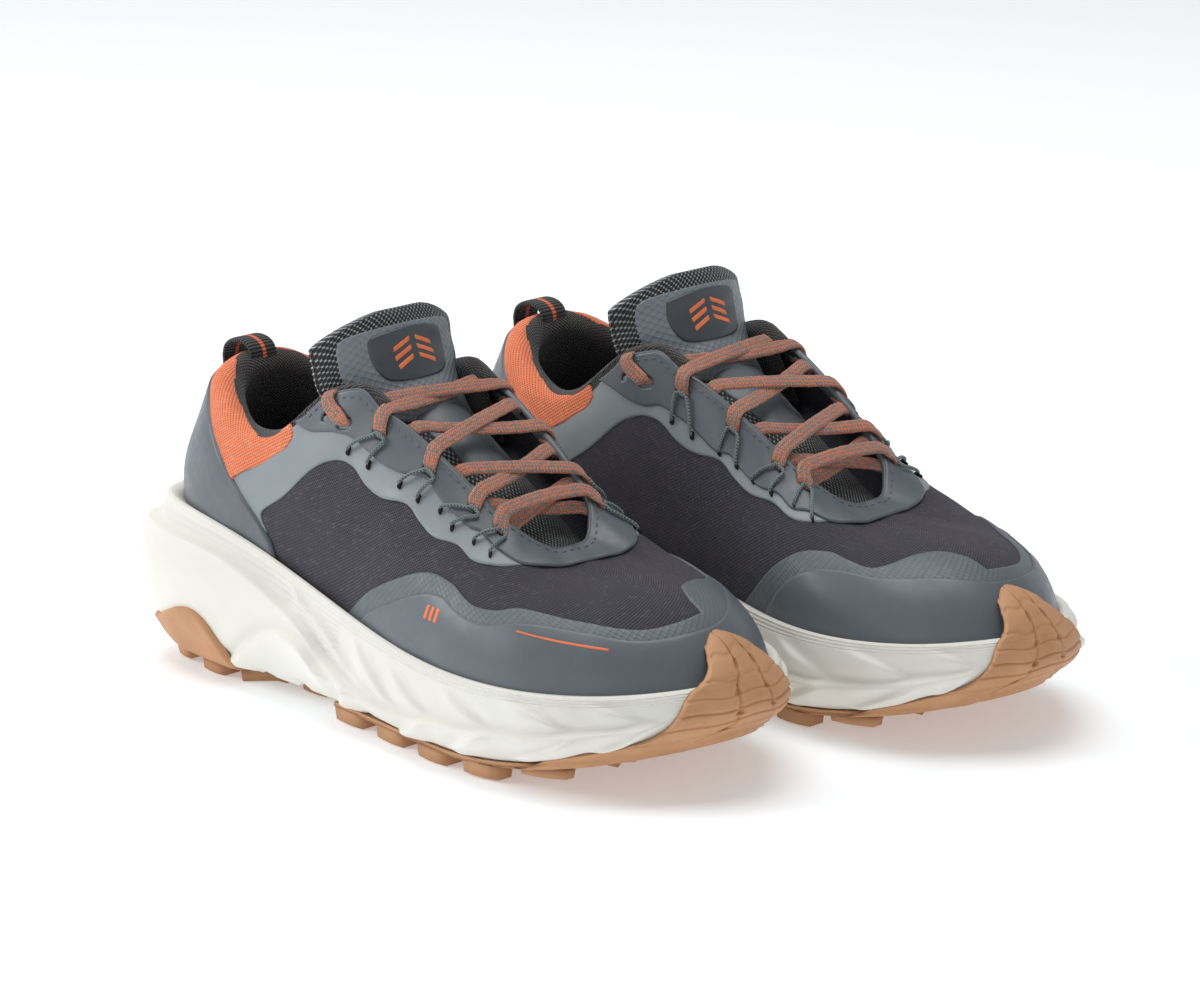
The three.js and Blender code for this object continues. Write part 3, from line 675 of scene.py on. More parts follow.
def lace_look():
    look = Look("lace_braid", 0.78, Sheen_Weight=0.3, Sheen_Roughness=0.5)
    near, tone = look.staggered(1.5, 0.8)
    yarn = look.ramp(near, 0.2, 0.6, 1.0, 0.0)
    x, y, _ = look.parts(look.cloth)
    wander = look.math("MULTIPLY", look.noise(look.scaled(look.cloth, 0.35, 0.5), 1.0, 2), 5.0)
    along = look.math("MULTIPLY", x, 2.5)
    across = look.math("MULTIPLY", y, 1.9)
    first = look.math("SINE", look.math("ADD", look.math("ADD", along, across), wander))
    second = look.math("SINE", look.math("SUBTRACT", along, across))
    uneven = look.math("MULTIPLY", look.math("SUBTRACT", tone, 0.5), 0.9)
    plait = look.math("ADD", look.math("MULTIPLY", first, second), uneven)
    orange = look.mix(look.noise(look.place, 900, 2), rgb("e06c3c"), rgb("f29468"))
    grey = look.mix(look.noise(look.place, 900, 2), rgb("6c6863"), rgb("98928b"))
    colour = look.mix(look.ramp(plait, -0.12, 0.12), orange, grey)
    colour = look.mix(yarn, rgb("4a3a34"), colour)
    fibre = look.noise(look.scaled(look.cloth, 4, 12), 1.0, 3)
    return look.done(colour, look.bump(yarn, 0.45, 1.0, look.bump(fibre, 0.1, 0.5)))


def cord_look():
    look = Look("grey_cord", 0.7, Sheen_Weight=0.2)
    x, y, _ = look.parts(look.cloth)
    twist = look.math("SINE", look.math("ADD", look.math("MULTIPLY", x, 5.2), look.math("MULTIPLY", y, 2.7)))
    slant = look.math("SUBTRACT", look.math("MULTIPLY", x, 5.2), look.math("MULTIPLY", y, 2.7))
    cross = look.math("SINE", slant)
    weave = look.math("MAXIMUM", twist, cross)
    colour = look.mix(look.ramp(weave, -0.2, 1.0), rgb("434b4b"), rgb("7f8b8b"))
    return look.done(colour, look.bump(weave, 0.2, 0.8))


def webbing_look(girth):
    look = Look("pull_webbing", 0.75, Sheen_Weight=0.2)
    x, y, _ = look.parts(look.cloth)
    ribs = look.math("SINE", look.math("MULTIPLY", x, 2 * math.pi / 1.25))
    middle = look.math("ABSOLUTE", look.math("SUBTRACT", y, girth / 2))
    side = look.math("ABSOLUTE", look.math("SUBTRACT", middle, girth / 4))
    thread = look.math("SINE", look.math("MULTIPLY", y, 9.0))
    base = look.mix(look.ramp(ribs, -1, 1), rgb("0e0e10"), rgb("343437"))
    colour = look.mix(look.ramp(side, 0.75, 1.0, 1, 0), base, rgb("e8683a"))
    height = look.math("ADD", ribs, look.math("MULTIPLY", thread, 0.2))
    return look.done(colour, look.bump(height, 0.25, 0.9))


def foam_look():
    look = Look("cream_foam", 0.55)
    look.shader.inputs["Subsurface Weight"].default_value = 0.08
    look.shader.inputs["Subsurface Radius"].default_value = (0.004, 0.003, 0.002)
    look.shader.inputs["Subsurface Scale"].default_value = 1.0
    fine = look.noise(look.place, 1500, 3)
    broad = look.noise(look.place, 30, 3)
    _, y, _ = look.parts(look.cloth)
    lines = look.math("SINE", look.math("MULTIPLY", y, 2 * math.pi / 1.3))
    strip = look.node("ShaderNodeAttribute", attribute_name="strip").outputs["Fac"]
    lines = look.math("MULTIPLY", lines, strip)
    colour = look.mix(look.ramp(broad, 0.3, 0.75, 0, 0.5), rgb("eae8e0"), rgb("dedbd1"))
    return look.done(colour, look.bump(lines, 0.16, 0.8, look.bump(fine, 0.05, 0.5)))


def rubber_look():
    look = Look("gum_rubber", 0.62)
    fine = look.noise(look.place, 1900, 3)
    broad = look.noise(look.place, 70, 4)
    _, _, z = look.parts(look.place)
    colour = look.mix(look.ramp(broad, 0.3, 0.7, 0, 0.6), rgb("c8966d"), rgb("b5835b"))
    # Painted shade: the gum is mixed towards a darker brown within 6 mm of the floor, where the lugs meet the
    # ground.
    colour = look.mix(look.ramp(z, 0.0, 0.006, 0.45, 0.0), colour, rgb("a0714c"))
    return look.done(colour, look.bump(fine, 0.08, 0.7))


def plain_look(name, base, rough=0.8, scale=900, depth=0.15):
    look = Look(name, rough)
    grain = look.noise(look.place, scale, 4)
    colour = look.mix(look.ramp(grain, 0.3, 0.7), base, tuple(c * 0.75 for c in base[:3]) + (1,))
    return look.done(colour, look.bump(grain, depth, 0.8))


LOOKS = {
    "dark_mesh": knit_look(
        "dark_knit", rgb("09080b"), rgb("4a4652"), rgb("6d6875"), 1.6, 1.15, 0.12, 0.4, 0.8, 0.46),
    "orange_mesh": knit_look(
        "orange_weave", rgb("bb4a28"), rgb("f98a5e"), rgb("ffac88"), 1.8, 1.35, 0.2, 0.5, 0.8, 0.5),
    "lining_knit": knit_look(
        "lining_knit", rgb("141211"), rgb("322d2b"), rgb("453f3c"), 2.6, 2.0, 0.35, 0.5, 0.6),
    "sock_fabric": knit_look("sock_cloth", rgb("131214"), rgb("2a282a"), rgb("3d3a3c"), 1.4, 1.4),
    "tongue_mesh": open_mesh_look("tongue_spacer", rgb("b4b9bb"), rgb("0c0c0e"), 2.3, 1.7),
    "dark_film": film_look("dark_film", rgb("60676e")),
    "edge_film": film_look("embossed_film", rgb("5a6167"), 0.5, 0.06, 0.16),
    "stay_film": film_look("eyestay_film", rgb("5a6167"), 0.4),
    "light_film": film_look("light_film", rgb("8a9296"), 0.45),
    "side_film": film_look("tongue_film", rgb("757c82"), 0.5, 0.06, 0.3, 2.8, 2.8),
    "badge_film": film_look("badge_film", rgb("43484d"), 0.38),
    "lace_braid": lace_look(),
    "grey_cord": cord_look(),
    "webbing": webbing_look(26.2),
    "dark_pit": plain_look("dark_pit", rgb("101012"), 0.9),
    "cream_foam": foam_look(),
    "gum_rubber": rubber_look(),
    "sign": film_look("orange_print", rgb("f07a45"), 0.5, 0.03),
    "thread": plain_look("thread", rgb("6b7073"), 0.7, 2500),
    "board": plain_look("pale_board", rgb("cfc8b8")),
    "stiff_plastic": plain_look("stiff_sheet", rgb("c2bda9"), 0.6),
    "soft_foam": plain_look("open_foam", rgb("cdbb78"), 0.95, 700, 0.5),
}


# ---- midsole ----
# Sculpted lines of the foam wall, as (u, height) from heel to toe, with how proud the foam stands under them.
CREASES = [
    ([(-0.03, 0.9), (0.03, 0.86), (0.07, 0.87), (0.1, 0.86), (0.134, 0.87), (0.16, 0.85),
      (0.186, 0.81), (0.217, 0.73), (0.24, 0.56), (0.27, 0.42)], 3.6, 13),
    ([(0.20, 0.93), (0.215, 0.86), (0.239, 0.79), (0.256, 0.65), (0.271, 0.51), (0.29, 0.4)], 1.6, 6),
    ([(0.13, 0.06), (0.147, 0.19), (0.179, 0.51), (0.2, 0.62), (0.222, 0.61), (0.238, 0.5),
      (0.25, 0.43)], 3.0, 10),
    ([(0.255, 0.42), (0.282, 0.35), (0.306, 0.33), (0.334, 0.42), (0.355, 0.47), (0.383, 0.48),
      (0.418, 0.54), (0.45, 0.6), (0.5, 0.64)], 2.6, 8),
    ([(0.24, 0.02), (0.252, 0.2), (0.262, 0.38)], 1.6, 6),
    ([(0.298, 0.0), (0.315, 0.2), (0.334, 0.42)], 2.0, 7),
    ([(0.345, 0.08), (0.36, 0.3), (0.375, 0.48)], 1.9, 7),
    ([(0.386, 0.12), (0.409, 0.38), (0.424, 0.54)], 1.8, 7),
    ([(0.425, 0.2), (0.44, 0.42), (0.452, 0.6)], 1.5, 6),
    ([(0.265, 0.86), (0.285, 0.66), (0.306, 0.36)], 1.7, 7),
    ([(0.3, 0.82), (0.318, 0.64), (0.336, 0.44)], 1.7, 7),
    ([(0.345, 0.86), (0.362, 0.68), (0.378, 0.5)], 1.7, 7),
    ([(0.385, 0.9), (0.403, 0.76), (0.422, 0.56)], 1.6, 7),
    ([(0.428, 0.93), (0.44, 0.82), (0.456, 0.62)], 1.3, 6),
]

# The toe bumper is rubber that climbs over the foam onto the toe. Its edge on the foam wall, as (u, height):
BUMPER_EDGE = catmull(
    [(0.385, 0.0), (0.407, 0.14), (0.431, 0.26), (0.45, 0.36), (0.459, 0.5), (0.464, 0.65),
     (0.469, 0.88), (0.473, 1.0)],
    60,
)
# Above the foam's rim: how far it has climbed, and where its left and right edges are.
BUMPER_TOP = (
    [0, 0.23, 0.46, 0.69, 0.88, 1.0],
    [0.473, 0.4795, 0.485, 0.489, 0.492, 0.4955],
    [0.533, 0.5285, 0.525, 0.522, 0.5195, 0.516],
)
RIM_SHARE = 0.68


def sculpt(u, w, tall):
    s = np.minimum(np.mod(u, 1), 1 - np.mod(u, 1))
    out = np.zeros_like(s)
    for points, proud, reach in CREASES:
        line = catmull(points, 120)
        at = np.interp(s, line[:, 0], line[:, 1])
        slope = np.interp(s, line[:, 0], np.gradient(line[:, 1], line[:, 0]))
        d = (at - w) * tall / np.sqrt(1 + (slope * tall / 640) ** 2)
        begin = smooth(line[0, 0] - 0.004, line[0, 0] + 0.012, s)
        ends = begin * (1 - smooth(line[-1, 0] - 0.012, line[-1, 0] + 0.004, s))
        shape = np.where(d > 0, np.exp(-(d / reach) ** 2), np.exp(-(d / 0.8) ** 2))
        out = out + ends * proud * (shape - 0.3 * np.exp(-(((d + 2.6) / 2.2) ** 2)))
    return out


def midsole():
    n = 600
    us = np.arange(n) / n
    ws = np.concatenate([[0, 0.012, 0.03], np.linspace(0.05, 0.97, 74), [0.985, 1.0]])
    U, W = np.meshgrid(us, ws, indexing="ij")
    tall = np.linalg.norm(wall_at(us, 1.0) - wall_at(us, 0.0), axis=1)[:, None]
    fade = smooth(0, 0.08, W) * (1 - smooth(0.93, 1.0, W))
    s = np.minimum(U, 1 - U)
    covered = np.interp(W, BUMPER_EDGE[:, 1], BUMPER_EDGE[:, 0])
    far = BUMPER_TOP[2][0] + BUMPER_EDGE[-1, 0] - covered
    toe = 1 - smooth(-0.014, 0.0, U - covered) * smooth(-0.014, 0.0, far - U)
    wall = wall_at(U, W) + wall_normal(U, W) * (sculpt(U, W, tall) * fade * toe - 0.25)[..., None]
    foot = wall_at(us, 0.0)
    rise = underside(foot[:, 0]) - foot[:, 2]
    wall[..., 2] += rise[:, None] * (1 - smooth(0, 0.2, W))
    for place, deep in ((0.163, 3.2), (0.2, 3.4), (0.236, 3.0), (0.27, 2.6)):
        wall[..., 2] += deep * np.exp(-(((s - place) / 0.0035) ** 2)) * (1 - smooth(0, 0.16, W))
    inner = skin(us, 0.0, 0) + unit(normal(us, 0.0) * [1, 1, 0]) * (MESH + 0.9)
    bottom = wall[:, 0] - unit(wall_normal(us, 0.2) * [1, 1, 0]) * 2.5
    rim = wall[:, -1]
    top = [rim * 0.75 + (inner + [0, 0, 2]) * 0.25 + [0, 0, 0.5], inner + [0, 0, 2], inner - [0, 0, 1]]
    rings = np.concatenate([bottom[:, None], wall, np.stack(top, 1)], 1)
    m = rings.shape[1]
    verts = rings.reshape(-1, 3)
    quads, cells = grid((n, m), True)
    girth = np.concatenate([[0], np.cumsum(np.linalg.norm(np.diff(rings[n // 3], axis=0), axis=1))])
    corner = np.stack([cells[..., 0] * 0.72 * 1000 / n, girth[cells[..., 1]]], -1)
    faces = quads.tolist()
    uv = [corner.reshape(-1, 2)]
    for ring, back in ((0, True), (m - 1, False)):
        for i in range(n // 2):
            face = list(dict.fromkeys([i, i + 1, n - i - 1, (n - i) % n]))
            face = [k * m + ring for k in face]
            faces.append(face[::-1] if back else face)
            uv.append(verts[faces[-1]][:, :2])
    strip = np.zeros((n, m))
    ledge = catmull(CREASES[0][0], 80)
    level = np.interp(np.minimum(us, 1 - us), ledge[:, 0], ledge[:, 1])
    level = np.where(np.minimum(us, 1 - us) > 0.25, 0.86, level)
    strip[:, 1:-3] = smooth(0.0, 0.03, ws[None] - level[:, None] - 0.02)
    sheet = (verts, faces, np.vstack(uv))
    made = put("midsole", sheet, LOOKS["cream_foam"], ["midsole"])
    for obj in made.values():
        layer = obj.data.attributes.new("strip", "FLOAT", "POINT")
        layer.data.foreach_set("value", strip.ravel().astype(np.float32))


midsole()


# ---- outsole ----
def foot_edge(x, ring=0.0):
    u = np.linspace(0, 1, 1601)
    p = wall_at(u, ring)
    half = len(u) // 2
    lateral = np.interp(x, p[:half, 0], p[:half, 1])
    medial = np.interp(x, p[half:, 0][::-1], p[half:, 1][::-1])
    return lateral, medial


def tread_edge(x, ring=0.0):
    """The foot's edges where rubber may lie: it draws in under the arch."""
    y0, y1 = foot_edge(x, ring)
    draw = 12 * smooth(58, 70, x) * (1 - smooth(104, 112, x))
    return y0 + draw, y1 - draw


def tread_plate(x0, x1):
    toe = wall_at(0.5, 0.0)[0] - 0.5

    def at(x, t, side):
        y0, y1 = tread_edge(np.minimum(x, toe))
        y = (y0 - 0.4) * (1 - t) + (y1 + 0.4) * t
        edge = np.minimum(t, 1 - t) * (y1 - y0)
        round_off = 0.9 * (1 - np.sqrt(np.clip(1 - (1 - np.clip(edge / 1.2, 0, 1)) ** 2, 0, 1)))
        ribs = 0.18 * np.sin(x * 1.5) * np.sin(y * 1.3)
        z = underside(x) - 0.3 - (2.4 - round_off + ribs if side == 0 else 0)
        return np.stack([x, y, z], -1)

    rows = np.concatenate([np.linspace(0, 0.06, 6), np.linspace(0.1, 0.9, 30), np.linspace(0.94, 1, 6)])
    return shell(at, np.linspace(x0, x1, 90), rows, flat=lambda x, t: np.stack([x, t * 90], -1))


def block(corners, low, high, draft=0.9, soft=0.7):
    """A rubber lug: its outline at the plate, narrowing to its worn foot."""
    c = np.array(corners, float)
    middle = c.mean(0)
    shrink = lambda d: middle + (c - middle) * (1 - d / np.linalg.norm(c - middle, axis=1, keepdims=True))
    inset = draft * 0.6
    levels = [(0, high), (inset, low + soft)]
    levels += [(inset + 0.12 * soft, low + 0.45 * soft), (inset + 0.6 * soft, low)]
    verts = []
    for d, z in levels:
        ring = shrink(d)
        zs = z(ring[:, 0]) if callable(z) else np.full(len(ring), z)
        verts.append(np.column_stack([ring, zs]))
    n = len(c)
    faces = []
    for k in range(3):
        below, above = k * n, (k + 1) * n
        faces += [[below + j, below + (j + 1) % n, above + (j + 1) % n, above + j] for j in range(n)]
    faces += [list(range(n))[::-1], [3 * n + j for j in range(n)]]
    verts = np.vstack(verts)
    area = np.sum(c[:, 0] * np.roll(c[:, 1], -1) - c[:, 1] * np.roll(c[:, 0], -1))
    if area > 0:
        faces = [f[::-1] for f in faces]
    uv = np.vstack([verts[f][:, :2] + verts[f][:, 2:] for f in faces])
    return verts, faces, uv


def tread(x0, x1, rows, long):
    parts = [tread_plate(x0, x1)]
    for k in range(rows):
        x = x0 + 8 + (x1 - x0 - 18) * k / (rows - 1)
        low, high = underside(x) - 7 + 3.6 * smooth(205, 258, x), underside(x) - 2
        for edge, sign in ((0, 1), (1, -1)) if x < 230 else ():
            xs = np.array([x - long / 2, x - long / 6, x + long / 6, x + long / 2])
            outer = tread_edge(np.minimum(xs, 273))[edge] - sign * np.array([-0.3, 0.6, 0.6, -0.6])
            inner = tread_edge(np.full(4, min(x, 272)))[edge] + sign * np.array([9, 12.5, 10.5, 8])
            corners = list(zip(xs, outer)) + list(zip(xs[::-1], inner[::-1]))
            parts.append(block(corners, low, high))
        y0, y1 = foot_edge(min(x, 272.0))
        middle, half = (y0 + y1) / 2, (y1 - y0) / 2
        for sign in (-1, 1) if x < 250 else ():
            cx, cy = x + 5, middle + sign * half * 0.32
            shape = [(-6, -2), (-1, -6.5), (5, -5.5), (3, -0.5), (5.5, 5), (0, 6)]
            parts.append(block([(cx + a, cy + sign * b) for a, b in shape], low, high))
    return parts


def bumper():
    climbs, near, far = BUMPER_TOP

    def at(i, h, side):
        out = 0.4 if side == 0 else 2.3 - 1.3 * smooth(0.7, 1.0, h)
        w = np.clip(h / RIM_SHARE, 0, 1)
        climb = np.clip((h - RIM_SHARE) / (1 - RIM_SHARE), 0, 1)
        over_rim = h > RIM_SHARE
        left = np.interp(w, BUMPER_EDGE[:, 1], BUMPER_EDGE[:, 0])
        right = far[0] + BUMPER_EDGE[-1, 0] - left
        left = np.where(over_rim, np.interp(climb, climbs, near), left)
        right = np.where(over_rim, np.interp(climb, climbs, far), right)
        u = (left + right) / 2 + (right - left) / 2 * i
        level = normal(u, 0.0) * [1, 1, 0]
        foot = wall_at(u, w) + unit(level) * (out - side * 0.9 * (1 - smooth(0, 0.4, w)))[..., None]
        foot[..., 2] += (underside(foot[..., 0]) - 2.3 - foot[..., 2]) * (1 - smooth(0, 0.16, w))
        tall = 0.166 - 0.04 * i**2
        over = skin(u, tall * climb, 2.1 + out)
        onto = smooth(0, 0.85, climb)[..., None]
        turn = climb[..., None] * math.pi / 2 * np.ones(3)
        rise = np.where([True, True, False], 1 - np.cos(turn), np.sin(turn))
        arch = foot + (skin(u, tall, 2.1 + out) - foot) * rise
        p = 0.4 * (foot * (1 - onto) + over * onto) + 0.6 * arch
        if side:
            edge = np.minimum(1 - np.abs(i), 1 - h) * 30
            soft = 1 - np.sqrt(np.clip(1 - (1 - np.clip(edge / 2.2, 0, 1)) ** 2, 0, 1))
            steps = (h * 7.5 - 0.12 * np.cos(i * 7.5)) % 1
            ribs = np.exp(-(((steps - 0.5) / 0.1) ** 2)) * smooth(0.02, 0.1, 1 - h)
            pitch = (h * 5.2 + 0.3) % 1
            pit = smooth(0.28, 0.36, pitch) * (1 - smooth(0.56, 0.64, pitch))
            reach = 0.018 + 0.022 * pit
            bend = 0.03 * np.sin(h * 6)
            grooves = sum(np.exp(-(((i - c - bend) / reach) ** 2)) for c in (-0.27, 0.27))
            p = p - unit(level) * (2.0 * soft + 0.7 * ribs + (1.2 + pit) * grooves)[..., None]
        return p

    def flat(i, h):
        return np.stack([i * 40, h * 60], -1)

    return shell(at, np.linspace(-1, 1, 190), np.linspace(0, 1, 130), flat=flat)


HEEL_WRAP = [
    [(0.058, 0.02), (0.062, 0.2), (0.074, 0.25), (0.09, 0.35), (0.104, 0.43), (0.118, 0.46),
     (0.129, 0.38), (0.134, 0.18), (0.137, 0.02)],
    [(0.137, 0.02), (0.1, 0.02), (0.058, 0.02)],
]


def heel_wrap(flip):
    place = lambda q: [((1 - u) * SU if flip else u * SU, w * 48) for u, w in q]
    loop = outline(*[place(run) for run in HEEL_WRAP], step=1.3)

    def at(plane, offset):
        u, w = plane[:, 0] / SU, plane[:, 1] / 48
        p = wall_at(u, w)
        p[:, 2] += (underside(p[:, 0]) - p[:, 2]) * (1 - smooth(0, 0.2, w))
        return p + wall_normal(u, np.maximum(w, 0.1)) * offset[:, None]

    return cut_sheet([loop], at, -0.5, 2.1, 2.4, 1.2)


sheet = join(tread(14, 100, 4, 14) + [heel_wrap(False), heel_wrap(True)])
put("outsole_heel", sheet, LOOKS["gum_rubber"], ["outsole_heel"])
sheet = join(tread(118, 264, 6, 17) + [bumper()])
put("outsole_forefoot", sheet, LOOKS["gum_rubber"], ["outsole_forefoot"])
for side in SIDES:
    plain = {"strobel_board": "board", "heel_counter": "stiff_plastic", "toe_puff": "stiff_plastic"}
    for node, look in plain.items():
        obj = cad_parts[f"{side}_{node}"]
        for slot in obj.material_slots:
            slot.material = LOOKS[look]


def footbed():
    u = np.linspace(0, 1, 1601)
    p = upper_at(u, 0.0)
    half = len(u) // 2

    def at(x, t, side):
        y0, y1 = np.interp(x, p[:half, 0], p[:half, 1]), np.interp(x, p[half:, 0][::-1], p[half:, 1][::-1])
        z0, z1 = np.interp(x, p[:half, 0], p[:half, 2]), np.interp(x, p[half:, 0][::-1], p[half:, 2][::-1])
        y = (y0 + 5) * (1 - t) + (y1 - 5) * t
        cup = 3.2 * np.abs(2 * t - 1) ** 3 * (1 - smooth(120, 170, x)) + 1.6 * t * (1 - smooth(90, 150, x))
        return np.stack([x, y, z0 * (1 - t) + z1 * t + (6.2 + cup if side else 2.6)], -1)

    f = (1 - np.cos(np.linspace(0, np.pi, 110))) / 2
    return shell(at, 15 + 242 * f, np.linspace(0, 1, 40), flat=lambda x, t: np.stack([x, t * 80], -1))


sheet = footbed()
for obj in put("sockliner", sheet, LOOKS["sock_fabric"], ["sockliner"]).values():
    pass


# ---- upper ----
def mesh_top(u):
    s = np.abs(np.mod(u, 1) - 0.5)
    _, centre = collar_sizes(u)
    return np.where(s > 0.3, np.minimum(1.0, centre - 0.01), 0.84 + 0.16 * smooth(0.2, 0.3, s))


sheet = shell(
    lambda u, f, side: skin(u, 0.002 + f * (mesh_top(u) - 0.002), (MESH if side else 0) + ripple(u, f)),
    np.arange(420) / 420, np.linspace(0, 1, 46), wrap=True, flat=lambda u, f: cloth_uv(u, f * mesh_top(u)))
put("upper_mesh", sheet, LOOKS["dark_mesh"], ["upper_mesh"])

GUARD_LATERAL = [
    (0.248, -0.02), (0.2525, 0.04), (0.2755, 0.2), (0.309, 0.37), (0.333, 0.462), (0.3525, 0.465),
    (0.3635, 0.42), (0.3735, 0.39), (0.3885, 0.4), (0.4035, 0.435), (0.4205, 0.415), (0.4405, 0.355),
    (0.4575, 0.285), (0.472, 0.25), (0.49, 0.25), (0.5085, 0.268),
]
GUARD_MEDIAL = [
    (0.5085, 0.268), (0.512, 0.36), (0.5245, 0.45), (0.545, 0.455), (0.565, 0.42), (0.58, 0.4),
    (0.592, 0.45), (0.604, 0.5), (0.625, 0.47), (0.648, 0.35), (0.668, 0.18), (0.682, 0.05),
    (0.688, -0.02),
]
FOOT_LINE = [(0.688, -0.02), (0.6, -0.02), (0.5, -0.02), (0.35, -0.02), (0.248, -0.02)]
guard_loop = outline(scaled(GUARD_LATERAL), scaled(GUARD_MEDIAL), scaled(FOOT_LINE))


def add_film(name, loops, look, nodes, inner, outer, soft=0.7):
    sheet = cut_sheet(loops, on_upper, inner, outer, soft=soft, flat=upper_flat)
    return put(name, sheet, LOOKS[look], nodes)


# The guard is two films: an embossed one that reaches the wavy edge, and a smooth one a little inside it.
GUARD_STEP = [
    (0.262, -0.02), (0.2725, 0.09), (0.305, 0.245), (0.3315, 0.35), (0.347, 0.375), (0.36, 0.33),
    (0.377, 0.3), (0.4, 0.335), (0.42, 0.33), (0.44, 0.28), (0.458, 0.215), (0.475, 0.19), (0.5, 0.19),
    (0.52, 0.215), (0.55, 0.29), (0.58, 0.33), (0.602, 0.38), (0.622, 0.36), (0.642, 0.27), (0.66, 0.11),
    (0.672, -0.02),
]
step_loop = outline(scaled(GUARD_STEP), scaled([(0.672, -0.02), (0.5, -0.02), (0.262, -0.02)]))
add_film("toe_guard", [guard_loop], "edge_film", ["toe_guard"], 1.1, 2.0)
add_film("toe_guard_cap", [step_loop], "dark_film", [], 1.9, 2.55)

BAND = [
    (0.1735, 0.2), (0.168, 0.35), (0.1895, 0.515), (0.2105, 0.665), (0.229, 0.72), (0.246, 0.71),
    (0.262, 0.65), (0.2775, 0.64), (0.2995, 0.69), (0.314, 0.655), (0.3285, 0.635), (0.3495, 0.67),
    (0.3655, 0.64), (0.385, 0.675), (0.402, 0.73), (0.416, 0.78),
]
BAND_TOP = [(0.416, 0.78), (0.39, 0.86), (0.34, 0.9), (0.27, 0.92), (0.235, 0.95), (0.19, 0.985)]
BAND_HEEL = [(0.19, 0.985), (0.165, 0.86), (0.135, 0.6), (0.145, 0.42), (0.1735, 0.2)]
for label, turn in (("lateral", False), ("medial", True)):
    runs = [BAND, BAND_TOP, BAND_HEEL]
    runs = [other_side(r) for r in runs[::-1]] if turn else runs
    loop = outline(*[scaled(r) for r in runs])
    node = f"quarter_band_{label}"
    add_film(node, [loop], "light_film", [node], 1.05, 1.75)


# ---- heel: woven panel over the roll, clip and lining ----
def panel_seam(u):
    s = np.abs(u)
    radius, _ = collar_sizes(u)
    return radius * (1.35 + 0.45 * smooth(0.02, 0.075, s) - 1.15 * smooth(0.095, 0.165, s))


def on_collar(plane, offset):
    u = plane[:, 0] / SU
    return collar(u, plane[:, 1], offset - 2.0 + ripple(u, 0.9))


def fall(u, v):
    """Millimetres down the heel from where the roll starts."""
    _, centre = collar_sizes(u)
    return (v - centre) * height(u)


def clip_top(u):
    return np.maximum(0.93 - 71.5 * np.abs(u) ** 2.62, 0.05)


edge_u = np.linspace(-0.182, 0.182, 60)
seam = [(u * SU, float(panel_seam(u))) for u in edge_u]
side_run = [(0.182, float(panel_seam(0.182)))]
for u, v in ((0.188, 0.9), (0.183, 0.82), (0.172, 0.77), (0.15, 0.655), (0.138, 0.55)):
    side_run.append((u, float(fall(u, v))))
low_run = [(u * SU, float(fall(u, clip_top(u) - 0.05))) for u in np.linspace(0.138, -0.138, 50)]
right_run = [(u * SU, a) for u, a in side_run]
left_run = [(-u * SU, a) for u, a in side_run[::-1]]
panel_loop = outline(seam, right_run, low_run, left_run, step=1.3)


def collar_flat(plane):
    u = plane[:, 0] / SU
    _, centre = collar_sizes(u)
    return np.stack([np.interp(u, AROUND, LENGTH), centre * height(u) + plane[:, 1]], -1)


sheet = cut_sheet([panel_loop], on_collar, 1.3, 2.15, 2.0, 0.6, flat=collar_flat)
put("heel_panel", sheet, LOOKS["orange_mesh"], ["heel_panel"])

clip_run = [(u * SU, float(clip_top(u)) * SV) for u in np.linspace(-0.178, 0.178, 50)]
clip_side = [(0.178, float(clip_top(0.178))), (0.181, 0.04), (0.176, -0.02), (0.09, -0.02)]
clip_foot = scaled([*clip_side, (0, -0.02), *((-u, v) for u, v in clip_side[::-1])])
add_film("heel_clip", [outline(clip_run, clip_foot)], "stay_film", ["heel_clip"], 1.2, 2.9, 1.1)


def lining():
    reach = 0.262

    def at(u, f, side):
        radius, centre = collar_sizes(u)
        start = np.where(np.abs(u) < 0.186, panel_seam(u) - 1.2, -2.5)
        deep = np.pi * radius + (centre - 0.36) * height(u) * (1 - 0.55 * smooth(0.2, 0.262, np.abs(u)))
        a = start + (deep - start) * f
        swell = 0.5 * np.sin(np.clip(a / radius, 0, np.pi)) * np.sin(u * 95) * (np.abs(u) < 0.2)
        thick = np.where(a < 1.5, -0.6, 0.0)
        return collar(u, a, (0.15 if side else -1.1) + swell * 0.6 + thick)

    us = np.linspace(-reach, reach, 300)
    def flat(u, f):
        return np.stack([np.interp(u, AROUND, LENGTH), f * 62], -1)

    return shell(at, us, np.linspace(0, 1, 64), flat=flat)


sheet = lining()
put("collar_lining", sheet, LOOKS["lining_knit"], ["collar_lining"])


def foam_roll():
    def at(u, f, side):
        radius, centre = collar_sizes(u)
        a = -9 + (np.pi * radius + 20) * f
        ends = 1 - smooth(0.185, 0.2, np.abs(u))
        return collar(u, a, np.where(side, -1.5, -radius + 0.6) * ends - (1 - ends) * (radius * 0.7))

    return shell(at, np.linspace(-0.198, 0.198, 120), np.linspace(0, 1, 30))


sheet = foam_roll()
foam = put("collar_foam", sheet, LOOKS["soft_foam"], ["collar_foam"])


# ---- eyestay, its stitching and holes ----
STAY_LOW = [
    (0.187, 0.995), (0.1925, 0.95), (0.204, 0.89), (0.225, 0.862), (0.2415, 0.84), (0.255, 0.805),
    (0.269, 0.782), (0.284, 0.79), (0.2965, 0.825), (0.309, 0.855), (0.322, 0.83), (0.335, 0.81),
    (0.3555, 0.795), (0.3675, 0.815), (0.382, 0.785), (0.4065, 0.76), (0.4265, 0.785), (0.463, 0.82),
    (0.5, 0.825), (0.5165, 0.82), (0.555, 0.785), (0.5925, 0.735), (0.6155, 0.735), (0.632, 0.7),
    (0.645, 0.735), (0.663, 0.705), (0.6775, 0.72), (0.691, 0.755), (0.705, 0.72), (0.7255, 0.755),
    (0.739, 0.77), (0.754, 0.79), (0.7665, 0.775), (0.78, 0.81), (0.795, 0.9), (0.8085, 0.995),
]


